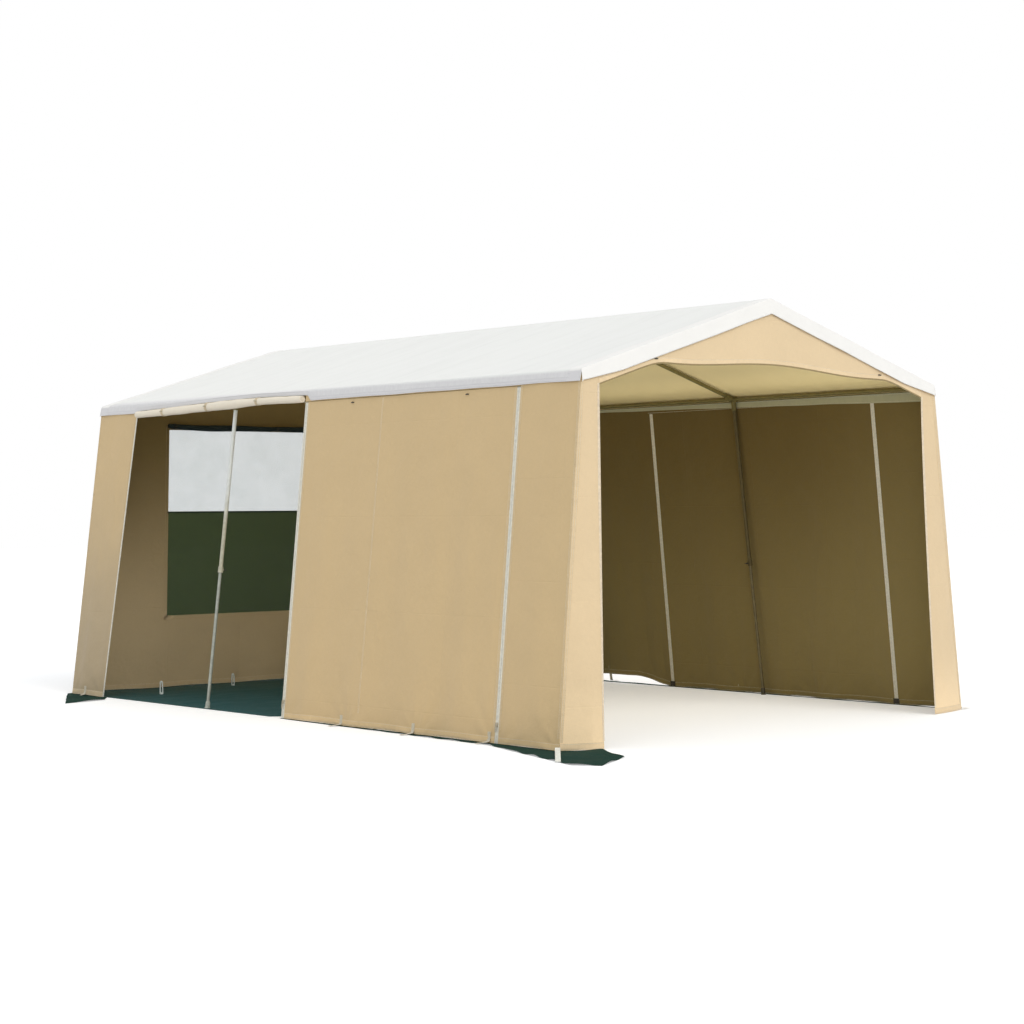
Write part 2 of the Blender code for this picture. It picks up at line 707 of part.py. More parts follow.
def front_gable():
    """The front gable cloth, with its wavy hem and a narrow strip down each rafter."""
    y = np.linspace(-OPENING_HALF, OPENING_HALF, 29)
    top = roof_z(y) - CLOTH - 2 * GAP
    wave = GABLE_HEM_WAVE * np.sin(2 * math.pi * (y + 0.3) / GABLE_HEM_PERIOD) - 0.02 * y
    hem = np.minimum(GABLE_HEM + wave, roof_z(y) - BAND - GABLE_STRIP)
    level = np.linspace(0, 1, 4)[:, None]
    z = hem + (top - hem) * level
    x = np.full_like(z, HALF_LENGTH)
    cloth("front_gable", np.stack((x, np.broadcast_to(y, z.shape), z), -1), CANVAS_LIGHT, (1, 0, 0))


def front_strip(side):
    """A narrow front corner strip, its free lower corner pegged forward."""
    share = np.linspace(0, 1, 4)
    inner = OPENING_HALF + 2 * GAP
    rows = []
    for z in (*np.linspace(0, STRIP_STRAIGHT, 9), LEAN_TOP):
        reach = max(0.0, 1 - z / STRIP_STRAIGHT) ** 1.3
        outer_y = wall_y(z) - CLOTH - 2 * GAP
        inner_y = inner + (OPENING_HALF + STRIP_FOOT_SHIFT[side] - inner) * reach
        outer_x = float(front_x(z))
        inner_x = HALF_LENGTH + (STRIP_FOOT_X - HALF_LENGTH) * reach
        x = inner_x + (outer_x - inner_x) * share + STRIP_BOW * reach * np.sin(math.pi * share)
        y = inner_y + (outer_y - inner_y) * share
        lift = (CLOTH + HEM_CLEARANCE) * (1 - z / LEAN_TOP)
        rows.append(np.stack((x, SIGN[side] * y, np.full_like(x, z + lift)), -1))
    y = inner + (wall_y(EAVE_HEIGHT) - CLOTH - 2 * GAP - inner) * share
    rows.append(np.stack((np.full_like(y, HALF_LENGTH), SIGN[side] * y, roof_z(y) - CLOTH - 2 * GAP), -1))
    cloth(f"front_strip_{side}", rows, CANVAS_LIGHT, (1, 0, 0))


def rear_wall():
    """The rear wall up into its gable, with the window cut out."""
    top = roof_z(0) - CLOTH
    side_steps, window_steps = 4, 10
    left = np.linspace(1, 0, side_steps + 1)
    rows = []
    for low, high, steps in ((None, WINDOW_SILL, 3), (WINDOW_SILL, WINDOW_HEAD, 5), (WINDOW_HEAD, top, 3)):
        for step in range(steps + (high == top)):
            share = step / steps
            rows.append(rear_row(low, high, share, left, window_steps))
    grid = np.array(rows)
    keep = np.ones((grid.shape[0] - 1, grid.shape[1] - 1), bool)
    keep[3:8, side_steps : side_steps + window_steps] = False
    cloth("rear_wall", grid, CANVAS, (-1, 0, 0), keep)


def rear_row(low, high, share, side_share, window_steps):
    """One row of the rear wall's points, from the near corner to the far one."""
    flat = WINDOW_HALF * np.linspace(-1, 1, window_steps + 1)
    height = WINDOW_SILL if low is None else min(low + (min(high, WINDOW_HEAD) - low) * share, WINDOW_HEAD)
    if low is None:
        height = WINDOW_SILL * share
    edge = wall_y(min(height, LEAN_TOP) if low != WINDOW_HEAD else EAVE_HEIGHT * share + WINDOW_HEAD * (1 - share))
    edge = edge - CLOTH - 2 * GAP
    outer = WINDOW_HALF + (edge - WINDOW_HALF) * side_share
    y = np.concatenate((-outer[:-1], flat, outer[::-1][1:]))
    if low is None:
        hem = hem_z((y + y[-1]) / (2 * y[-1]), 5)
        z = hem + (WINDOW_SILL - hem) * share
    elif low == WINDOW_HEAD:
        z = WINDOW_HEAD + (roof_z(y) - CLOTH - 2 * GAP - WINDOW_HEAD) * share
    else:
        z = np.full_like(y, height)
    out = folds((y + y[-1]) / (2 * y[-1]), z, 6) * (low is None)
    return np.stack((rear_x(z) - out * (1 - share), y, z), -1)


def window_part(name, low, high, finish):
    """A panel of the rear window, set into the wall's opening with a small clearance."""
    edge = WINDOW_HALF - GAP
    y = np.linspace(-edge, edge, 5)
    z = np.array((low + GAP, high - GAP))[:, None]
    depth = (CLOTH - FILM) / 2
    x = np.broadcast_to(rear_x(z) + depth, (2, 5))
    cloth(name, np.stack((x, np.broadcast_to(y, (2, 5)), np.broadcast_to(z, (2, 5))), -1), finish, (-1, 0, 0), thickness=FILM)


def window_blind():
    """The window's dark blind, rolled up inside along the head of the window."""
    share = np.linspace(0, 1, BLIND_STEPS + 1)
    y = (WINDOW_HALF + BLIND_OVERHANG) * (2 * share - 1)
    radius = BLIND_R - BLIND_WAVE * (0.5 - 0.5 * np.cos(4 * math.pi * share))
    x = rear_x(WINDOW_HEAD) + CLOTH + 2 * GAP + BLIND_R
    path = np.stack((np.full_like(y, x), y, np.full_like(y, WINDOW_HEAD + BLIND_R / 2)), -1)
    add("window_blind", swept_tube(path, radius, (1, 0, 0), (0, 0, 1), BLIND_SIDES), BLIND)


def on_ground(name, outline, finish):
    """A sheet that lies on the ground, of an outline in plan."""
    add(name, prism(outline, 0, CLOTH, (0, 0, 0), (1, 0, 0), (0, 1, 0), (0, 0, 1)), finish)


def groundsheet():
    """The sheet under the rear half, with clipped corners; it lies askew, further back on the far side."""
    rear = float(rear_x(0)) + CLOTH + FOOT_INSET / 3
    half, cut = SHEET_HALF, SHEET_CUT
    outline = [
        (SHEET_FRONT, -half + cut),
        (SHEET_FRONT - SHEET_SKEW, half - cut),
        (SHEET_FRONT - SHEET_SKEW - cut, half),
        (rear + cut, half),
        (rear, half - cut),
        (rear, -half + cut),
        (rear + cut, -half),
        (SHEET_FRONT - cut, -half),
    ]
    on_ground("groundsheet", outline, GROUNDSHEET)


def mud_flaps():
    """The dark flaps that spread on the ground from the foot of the walls."""
    inner = SHEET_HALF + FLAP_GAP
    foot = float(wall_y(0))
    rear = float(rear_x(0))
    front = float(front_x(0))
    reach_x = front + FLAP_REACH
    rear_tip = [(rear - FLAP_START, foot + FLAP_EDGE)]
    rear_tip += [(rear + along, foot + out) for along, out in FLAP_REAR_SPREAD]
    front_tip = [(front + along, foot + out) for along, out in FLAP_FRONT_SPREAD]
    front_tip += [
        (reach_x, foot + FLAP_TIP[1]),
        (reach_x - FLAP_TIP[0], foot + FLAP_TIP[2]),
        (front + FLAP_RETURN[0], foot + FLAP_RETURN[1]),
        (front - 2 * FLAP_START, inner),
    ]
    near_rear = [(rear - FLAP_START, inner), *rear_tip, (ZIP_REAR[1] + FLAP_EDGE, inner)]
    near_start = ZIP_MIDDLE[1] - 2 * FLAP_START
    near_front = [(near_start, inner), (near_start, foot + FLAP_START), *front_tip]
    far = [(rear - FLAP_START, inner), *rear_tip, (ZIP_MIDDLE[1], foot + FLAP_EDGE)]
    far += [(front - 2 * FLAP_START, foot + FLAP_EDGE), (front - 2 * FLAP_START, inner)]
    on_ground("mud_flap_near_rear", [(x, -y) for x, y in near_rear], FLAP)
    on_ground("mud_flap_near_front", [(x, -y) for x, y in near_front], FLAP)
    on_ground("mud_flap_far", far, FLAP)
    half = inner - GAP * 10
    start = rear + FLAP_GAP + GAP * 10
    tip = half - FLAP_CORNER
    behind = [(start, -half), (start, half), (-reach_x, tip), (-reach_x, -tip)]
    on_ground("mud_flap_rear", behind, FLAP)


def frame():
    """Four arches with their legs, joined by the ridge pole and two eave poles."""
    for number in range(len(ARCH_X)):
        ridge_fitting(number)
        for side in SIGN:
            rafter(side, number)
            upper_leg(side, number)
            lower_leg(side, number)
    pole("ridge_pole", 0, CREST_Z)
    for side in SIGN:
        pole(f"eave_pole_{side}", SIGN[side] * CORNER_Y, CORNER_Z)


def covers():
    """Roof, walls, doors and what is on the ground."""
    roof_cover()
    rear_panel()
    front_wall("near", "near_front_wall", rear_part=False)
    front_wall("far", "far_wall", rear_part=True)
    for side in SIGN:
        door(side)
        front_strip(side)
    rolled_door()
    front_gable()
    rear_wall()
    window_part("window_mesh", WINDOW_SILL, WINDOW_SPLIT, MESH)
    window_part("window_film", WINDOW_SPLIT, WINDOW_HEAD, CLEAR)
    window_blind()
    groundsheet()
    mud_flaps()


def zips():
    """Zip tapes and their sliders; the near middle zip is sewn to the near door and moves with it."""
    zip_strip("zip_near_rear", "near", ZIP_REAR, halves=(-1,))
    zip_strip("zip_near_middle", "near", ZIP_MIDDLE, origin=hinge_place("near", ZIP_MIDDLE[0]))
    zip_strip("zip_near_front", "near", ZIP_FRONT)
    zip_strip("zip_far_middle", "far", ZIP_MIDDLE)
    zip_strip("zip_far_front", "far", ZIP_FRONT)
    for side in SIGN:
        slider(f"slider_{side}_middle", side, ZIP_MIDDLE)
        slider(f"slider_{side}_front", side, ZIP_FRONT)


for old in list(bpy.data.objects):
    bpy.data.objects.remove(old, do_unlink=True)

CANVAS = material("sand canvas", (0.58, 0.44, 0.24), 0.9)
CANVAS_LIGHT = material("pale sand canvas", (0.80, 0.62, 0.37), 0.9)
ROOF = material("white coated cloth", (0.86, 0.86, 0.85), 0.5)
STEEL = material("olive painted steel", (0.10, 0.09, 0.05), 0.5, 0.3)
STEEL_BRIGHT = material("bright steel", (0.55, 0.55, 0.53), 0.35, 0.9)
ZIP = material("cream zip", (0.80, 0.78, 0.70), 0.7)
BRASS = material("zip slider metal", (0.45, 0.42, 0.36), 0.35, 1.0)
CLEAR = material("clear window film", (0.66, 0.71, 0.74), 0.2)
MESH = material("green window mesh", (0.05, 0.08, 0.035), 0.8)
BLIND = material("dark blind cloth", (0.01, 0.012, 0.01), 0.8)
GROUNDSHEET = material("teal groundsheet", (0.03, 0.07, 0.07), 0.6)
FLAP = material("dark green flap", (0.012, 0.04, 0.032), 0.6)

frame()
covers()
zips()
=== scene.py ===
"""A group tent with its finishes: sand canvas walls and a white coated roof cover on a steel frame, with the
rear side door rolled up. Metres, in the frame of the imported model: +X is the open front, -Y the near side."""

import math

import bmesh
import bpy
import numpy as np
from mathutils import Matrix


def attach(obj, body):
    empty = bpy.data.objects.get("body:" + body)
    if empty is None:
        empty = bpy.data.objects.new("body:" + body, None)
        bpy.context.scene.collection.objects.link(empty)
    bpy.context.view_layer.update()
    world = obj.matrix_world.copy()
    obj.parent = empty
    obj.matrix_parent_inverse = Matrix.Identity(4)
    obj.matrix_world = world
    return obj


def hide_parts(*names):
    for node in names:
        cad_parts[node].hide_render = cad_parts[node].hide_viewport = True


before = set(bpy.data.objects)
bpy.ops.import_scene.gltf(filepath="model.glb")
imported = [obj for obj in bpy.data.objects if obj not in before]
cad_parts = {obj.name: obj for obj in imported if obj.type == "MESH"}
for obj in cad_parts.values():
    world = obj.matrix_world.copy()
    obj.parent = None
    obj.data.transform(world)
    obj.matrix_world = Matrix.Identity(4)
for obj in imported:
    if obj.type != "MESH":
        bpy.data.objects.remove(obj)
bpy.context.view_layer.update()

# Roof and walls, on the outer face of the cloth
HALF_LENGTH = 2.5
EAVE_HALF = 1.459
EAVE_HEIGHT = 2.005
RIDGE_HEIGHT = 2.455
WALL_SPLAY = 0.209
REAR_LEAN = 0.08
FRONT_LEAN = 0.03
VALANCE = 0.065
GABLE_BAND = 0.09
LEAN_TOP = EAVE_HEIGHT - VALANCE - 0.01
ROOF_SAG = 0.025

# Cloth
CANVAS = 0.0012
COATED = 0.0009
TAPE = 0.0008
SEAT = 0.0033
INSET = 0.0036
FOLD_DEPTH = 0.014
FOLD_PITCH = 0.5
LOOP_PITCH = 0.66
HEM_LIFT = 0.018
HEM_CLEAR = 0.0036
HEM_WIDTH = 0.035
FACING = 0.018
WEAVE = 0.0009
YARN = 0.00008
WALL_FLAT = 1.98
ROOF_END = HALF_LENGTH + SEAT

# Frame
TUBE = 0.0125
TUBE_BORE = 0.0110
INNER_TUBE = 0.0104
FITTING = 0.016
SLEEVE = 0.0173
SLEEVE_BORE = 0.0128
POLE_JOINT = 0.94
CORNER_Y, CORNER_Z = 1.43992, 1.98933
CREST_Z = 2.43344
FOOT_Y = 1.63
CLAMP_Z = 0.87
ARCH_PITCH = 1.64
ARCH_X = dict(zip(("rear", "mid_rear", "mid_front", "front"), (-2.46, -0.82, 0.82, 2.46)))
FOOT_SHIFT = {"rear": -0.08, "mid_rear": -0.08, "mid_front": 0.08, "front": 0.03}

# Side walls and their zips, each zip by its x at the eave and at the ground
HINGE_Z = 1.932
HINGE_EASE = 0.03
WALL_TOP = 1.975
ZIP_HALF = 0.015
ZIP_EDGE = ZIP_HALF + 0.0003
TOOTH_PITCH = 0.0034
ZIPS = {"rear": (-2.0, -2.15), "middle": (0.0, 0.0), "front": (2.0, 2.02)}
SIDES = {"near": -1, "far": 1}
FAR_HITCH = 0.055

# Rear window
WINDOW_HALF = 0.92
WINDOW_SILL = 0.51
WINDOW_SPLIT = 1.26
WINDOW_HEAD = 1.86
BINDING = 0.028
PANE = 0.0006

# Front gable and strips
OPENING_HALF = 1.337
STRIP_INNER = OPENING_HALF + 0.0006
GABLE_HEM = 2.054
GABLE_STRIP = 0.031
GABLE_CORNER = 0.012

# Rolled door and ground
ROLL = 0.0288
ROLL_ENDS = ZIPS["rear"][0] + 0.028, ZIPS["middle"][0] - 0.020
SHEET_HALF = 1.652
SHEET_CUT = 0.05
SHEET_FRONT = -0.12
SHEET_SKEW = 0.275
FLAP_INNER = SHEET_HALF + 0.006
FLAP_REACH = 0.55
FLAP_CREASE = 0.010


def unit(vector):
    """A vector, or rows of vectors, at length 1."""
    vector = np.asarray(vector, float)
    return vector / np.maximum(np.linalg.norm(vector, axis=-1, keepdims=True), 1e-12)


TILT = unit((EAVE_HEIGHT, WALL_SPLAY))


def running(path):
    """Distance along a path, added up from its first point."""
    return np.concatenate(([0], np.cumsum(np.linalg.norm(np.diff(path, axis=0), axis=-1))))


def ease(value):
    """From 0 to 1 with both ends soft."""
    value = np.clip(value, 0, 1)
    return value * value * (3 - 2 * value)


def swing(turns):
    """0 at each whole turn and 1 half-way between: half of one less the cosine."""
    return 0.5 - 0.5 * np.cos(2 * math.pi * turns)


def wall_y(z):
    """Half the width between the side walls at a height: it grows evenly from the eave to the ground."""
    return EAVE_HALF + WALL_SPLAY * (1 - z / EAVE_HEIGHT)


def roof_z(y):
    """Height of the straight roof slope: the ridge height less the pitch times the distance from the middle."""
    return RIDGE_HEIGHT - (RIDGE_HEIGHT - EAVE_HEIGHT) * np.abs(y) / EAVE_HALF


def line_x(name, z):
    """X of a zip's line up the wall, evenly from its foot to the eave."""
    top, foot = ZIPS[name]
    return foot + (top - foot) * z / EAVE_HEIGHT


def lean(z):
    """0 from the valance up, 1 at the ground."""
    return np.clip(1 - z / LEAN_TOP, 0, None)


def rear_x(z):
    """The rear wall's outer face at a height."""
    return -HALF_LENGTH - REAR_LEAN * lean(z)


def front_x(z):
    """The front corners' outer face at a height."""
    return HALF_LENGTH + FRONT_LEAN * lean(z)


def ripple(u, v, seed, size, count=7):
    """A smooth random wave of about one unit: a sum of sines in seeded directions, size metres long or more."""
    rng = np.random.default_rng(seed)
    total = np.zeros(np.broadcast(u, v).shape)
    for _ in range(count):
        angle, phase, length = rng.uniform(0, 2 * math.pi), rng.uniform(0, 2 * math.pi), size * rng.uniform(1, 2.5)
        total = total + np.sin(2 * math.pi * (u * math.cos(angle) + v * math.sin(angle)) / length + phase)
    return total / math.sqrt(count)


def ridges(u, v, seed, size, count=6):
    """Drapes that only stand out, 0 to 1.3: half a unit and a little less than half a ripple."""
    return np.clip(0.5 + 0.45 * ripple(u, v, seed, size, count), 0, 1.3)


# Meshes: a part is its points, its faces, their finish slots and its map in metres


def grid_of(x, y, z):
    """Points from three coordinates that spread over one grid."""
    return np.stack(np.broadcast_arrays(x, y, z), -1)


def shell(points, facing, thickness, uv, keep=None, slots=(0, 1)):
    """A sheet with two faces and a rim. Outer points are the grid; inner ones lie the thickness behind them
    along the normal, the cross product of the grid's two slopes; each edge that only one kept cell has gets a
    rim face. The outer face looks the way of facing, and the rim takes its slot."""
    points = np.asarray(points, float)
    rows, columns = points.shape[:2]
    normals = unit(np.cross(np.gradient(points, axis=1), np.gradient(points, axis=0)))
    turned = np.sum(normals * np.asarray(facing, float)) < 0
    normals = -normals if turned else normals
    number = np.arange(rows * columns).reshape(rows, columns)
    cells = np.stack((number[:-1, :-1], number[1:, :-1], number[1:, 1:], number[:-1, 1:]), -1)
    cells = cells[keep] if keep is not None else cells.reshape(-1, 4)
    cells = cells if turned else cells[:, ::-1]
    count = rows * columns
    edges = np.concatenate([cells[:, [i, (i + 1) % 4]] for i in range(4)])
    rim = edges[~np.isin(edges @ (count, 1), edges @ (1, count))]
    sides = np.stack((rim[:, 1], rim[:, 0], rim[:, 0] + count, rim[:, 1] + count), -1)
    faces = np.concatenate((cells, cells[:, ::-1] + count, sides))
    slot = np.repeat((slots[0], slots[1], slots[0]), (len(cells), len(cells), len(sides)))
    flat = points.reshape(-1, 3)
    both = np.concatenate((flat, flat - thickness * normals.reshape(-1, 3)))
    flat_uv = np.stack([np.broadcast_to(way, (rows, columns)).reshape(-1).astype(float) for way in uv], -1)
    return both, faces, slot, np.tile(flat_uv, (2, 1))


HEM_FACE = np.array((-1, -1, -1, -0.6, 0, 0.6, 1, 1, 1))
HEM_RISE = np.array((1, 0.5, 0.06, -0.03, -0.035, -0.03, 0.06, 0.5, 1))


def fold_out(face, cloth):
    """How far the strip of a folded hem stands out from the cloth's outer face: a tape's thickness behind the
    cloth where face is -1, as much before it at 1, and in the cloth's middle where it turns under the edge."""
    return (np.where(face > 0, TAPE, -cloth - TAPE) * np.abs(face) - (face == 0) * cloth / 2)[:, None]


def folded(points, face, axis, way, across, rise):
    """A folded hem's strip: up the inside, under the edge and up the outside, which looks along one axis."""
    towards = np.zeros(points.shape)
    towards[..., axis] = (way * face)[:, None]
    towards[..., 2] = -1.0 * (np.abs(face) < 0.7)[:, None]
    return shell(points, towards, TAPE, (across, np.clip(rise, 0, None)[:, None]), slots=(0, 0))


def inner_rows(part, points, rows, slot):
    """Another finish for the first rows of a folded hem, which lie on the cloth's inner face."""
    both, faces, slots, uv = part
    across = points.shape[1] - 1
    count = (points.shape[0] - 1) * across
    slots[: rows * across] = slot
    slots[count : count + rows * across] = slot
    return both, faces, slots, uv


def rings(points, uv, slot):
    """The faces between one ring of points and the next."""
    number = np.arange(points.shape[0] * points.shape[1]).reshape(points.shape[:2])
    faces = np.stack((number[:-1, :-1], number[:-1, 1:], number[1:, 1:], number[1:, :-1]), -1).reshape(-1, 4)
    return points.reshape(-1, 3), faces, np.full(len(faces), slot), uv.reshape(-1, 2)


def circle(across, upward, sides):
    """The angles round a circle, and its points: cosine times one way and sine times the other."""
    angle = 2 * math.pi * np.arange(sides + 1) / sides
    return angle, np.cos(angle)[:, None] * across[..., None, :] + np.sin(angle)[:, None] * upward[..., None, :]


def pipe(path, radius, sides=24, slot=0, closed=False):
    """A round bar: a circle of the radius given at each point, square to the path. Its ends close to a point,
    or meet if the path is closed."""
    path = np.asarray(path, float)
    radius = np.broadcast_to(np.asarray(radius, float), (len(path),)).copy()
    along = np.gradient(path, axis=0)
    if closed:
        along[0] = along[-1] = path[1] - path[-2]
    along = unit(along)
    guide = np.array((0.0, 0, 1)) if np.abs(along[:, 2]).mean() < 0.7 else np.array((1.0, 0, 0))
    across = unit(guide - (along @ guide)[:, None] * along)
    upward = np.cross(along, across)
    if not closed:
        path, across, upward = (np.concatenate((each[:1], each, each[-1:])) for each in (path, across, upward))
        radius = np.concatenate(([0], radius, [0]))
    angle, ring = circle(across, upward, sides)
    uv = grid_of(angle[None] * radius.max(), running(path)[:, None], 0)[..., :2]
    return rings(path[:, None] + radius[:, None, None] * ring, uv, slot)


def turned(profile, start, direction, sides=24, slot=0):
    """A profile of (distance, radius) points carried round the line from start along direction."""
    profile = np.asarray(profile, float)
    direction = unit(direction)
    guide = np.array((1.0, 0, 0)) if abs(direction[0]) < 0.9 else np.array((0, 1.0, 0))
    across = unit(guide - (guide @ direction) * direction)
    angle, ring = circle(across, np.cross(direction, across), sides)
    points = np.asarray(start, float) + profile[:, 0, None, None] * direction + profile[:, 1, None, None] * ring
    uv = grid_of(angle[None] * profile[:, 1].max(), running(profile)[:, None], 0)[..., :2]
    return rings(points, uv, slot)


def block(size, centre, across, along, out, slot=0, easing=0.25):
    """A block with its corners eased: a ring whose cosine and sine are raised to one small power, carried from
    the block's back to its front."""
    a, b, c = (value / 2 for value in size)
    angle = np.linspace(0, 2 * math.pi, 17)
    power = 2 / (2 + 6 * (1 - easing))
    ring = np.stack([np.sign(wave) * np.abs(wave) ** power for wave in (np.cos(angle), np.sin(angle))], -1)
    levels = ((-c, 0), (-c, 0.85), (-c * 0.8, 1), (c * 0.8, 1), (c, 0.85), (c, 0))
    flat = ring[:, 0, None] * a * np.asarray(across, float) + ring[:, 1, None] * b * np.asarray(along, float)
    out = np.asarray(out, float)
    points = np.stack([np.asarray(centre, float) + scale * flat + level * out for level, scale in levels])
    return rings(points, points[..., :2], slot)


def strap_round(centre, radius, axis, width=0.020, thickness=0.0012):
    """A strap tied round a roll."""
    half = width / 2
    ring = ((-half, radius), (-half, radius + thickness), (half, radius + thickness), (half, radius), (-half, radius))
    return turned(ring, centre, axis, 32)


def strap_along(knots, count, facing, width, across, thickness=0.0013, slot=0):
    """A flat strap along a path of that many points through a few knots, rounded by averaging. It is as wide
    all the way."""
    knots = np.asarray(knots, float)
    length = running(knots)
    place = np.linspace(0, length[-1], count)
    path = np.stack([np.interp(place, length, knots[:, k]) for k in range(3)], -1)
    for _ in range(3):
        path[1:-1] = (path[:-2] + 2 * path[1:-1] + path[2:]) / 4
    share = np.linspace(-0.5, 0.5, 5)
    grid = path[:, None] + (share * width)[None, :, None] * np.asarray(across, float)
    return shell(grid, facing, thickness, (share * width, running(path)[:, None]), slots=(slot, slot))


def toggle(centre, along, out, slot):
    """A small moulded toggle: a waisted bar with a thin loop that holds it to the cloth."""
    half = ((-0.013, 0), (-0.013, 0.0020), (-0.011, 0.0034), (-0.004, 0.0030), (0, 0.0024))
    bar = turned((*half, *((-place, radius) for place, radius in half[-2::-1])), centre, along, 16, slot)
    angle = np.linspace(0, math.pi, 13)[:, None]
    rise, reach = np.sin(angle) * 0.0040 * np.array((0, 0, 1)), np.cos(angle) * 0.0042 * np.asarray(out, float)
    return [bar, pipe(np.asarray(centre, float) + rise + reach, 0.0011, 8, slot)]


def spiral(path, radius, across, start, core, turns, sides, thickness, lumps, seed):
    """A sheet rolled up along a path: its distance from the path grows evenly with each turn, from the core's
    share of the radius to the whole. It ends at the start angle from across. Lumps soften it."""
    angle = np.linspace(0, 2 * math.pi * turns, turns * sides + 1)
    grown = core + (1 - core) * angle / angle[-1]
    s = running(path)
    soft = 1 + lumps * ripple(s[:, None], np.cos(angle)[None] * 0.05, seed, 0.09) * (0.3 + 0.7 * grown)
    size = radius[:, None] * grown[None] * soft - thickness
    ring = np.cos(angle + start)[:, None] * np.asarray(across, float) + np.sin(angle + start)[:, None] * (0.0, 0, 1)
    out = size[..., None] * ring
    length = np.concatenate(([0], np.cumsum(np.diff(angle) * (radius.mean() * grown[1:]))))
    return shell(path[:, None] + out, out, thickness, (s[:, None], length[None]))


def piece(name, parts, finishes, body="tent", replaces=(), slot=None):
    """One object made of shells, pipes and turned parts, with its map in metres, riding on a body. A closed part
    is turned to face out, as its volume tells."""
    parts = [(part[0], part[1][:, ::-1] if volume(*part[:2]) < 0 else part[1], *part[2:]) for part in parts]
    starts = np.cumsum([0] + [len(part[0]) for part in parts[:-1]])
    points = np.concatenate([part[0] for part in parts])
    faces = np.concatenate([part[1] + start for part, start in zip(parts, starts)])
    slots = np.concatenate([part[2] for part in parts])
    uv = np.concatenate([part[3] for part in parts])
    mesh = bpy.data.meshes.new(name)
    mesh.from_pydata(points.tolist(), [], faces.tolist())
    mesh.polygons.foreach_set("material_index", slots.astype(np.int32))
    layer = mesh.uv_layers.new(name="UV")
    layer.data.foreach_set("uv", uv[faces.reshape(-1)].astype(np.float32).reshape(-1))
    work = bmesh.new()
    work.from_mesh(mesh)
    bmesh.ops.remove_doubles(work, verts=work.verts, dist=1e-6)
    bmesh.ops.dissolve_degenerate(work, edges=work.edges, dist=1e-7)
    bmesh.ops.delete(work, geom=[corner for corner in work.verts if not corner.link_faces], context="VERTS")
    work.to_mesh(mesh)
    work.free()
    for finish in finishes:
        mesh.materials.append(finish)
    mesh.shade_smooth()
    mesh.set_sharp_from_angle(angle=math.radians(40))
    made = bpy.data.objects.new(name, mesh)
    bpy.context.scene.collection.objects.link(made)
    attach(made, body)
    if replaces:
        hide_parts(*replaces)
    return made


def volume(points, faces):
    """Six times the volume inside a part: the sum of each triangle's corners multiplied out."""
    a, b, c, d = (points[faces[:, i]] for i in range(4))
    return np.sum(np.cross(a, b) * c) + np.sum(np.cross(a, c) * d)


def sheet(name, parts, finishes, node, slot, trims=(), body="tent"):
    """A sheet of cloth and the pieces sewn to it, each given by its name, parts and finishes."""
    made = piece(name, parts, finishes, body, (node,) if node else (), slot)
    sewn = [piece(*trim, body, (), slot) for trim in trims]


# Finishes


def sign(operation):
    """A Wire's method that adds the Math node of one operation."""
    return lambda wire, *others: wire.math(operation, *others)


class Wire:
    """A shader socket that arithmetic works on: each sign adds a Math node."""

    def __init__(self, finish, socket):
        self.finish = finish
        self.socket = socket

    def math(self, operation, *values):
        return self.finish.node("Math", {"operation": operation}, dict(enumerate((self, *values))))

    __add__ = __radd__ = sign("ADD")
    __mul__ = __rmul__ = sign("MULTIPLY")
    __sub__ = sign("SUBTRACT")
    __truediv__ = sign("DIVIDE")
    __mod__ = sign("FLOORED_MODULO")
    __lt__ = sign("LESS_THAN")
    __abs__ = sign("ABSOLUTE")
    sine = sign("SINE")

    def __rsub__(self, other):
        return self.finish.node("Math", {"operation": "SUBTRACT"}, {0: other, 1: self})

    def ramp(self, low, high, start=0.0, end=1.0):
        """Softly from start to end as the value goes from low to high, and level past them."""
        names = {"Value": self, "From Min": low, "From Max": high, "To Min": start, "To Max": end}
        return self.finish.node("MapRange", {"interpolation_type": "SMOOTHSTEP"}, names)

    def wave(self, length):
        """A sine of that length in metres."""
        return (self * (2 * math.pi / length)).sine()


def shade(color, amount):
    """A colour made darker or lighter."""
    return tuple(min(1.0, part * amount) for part in color)


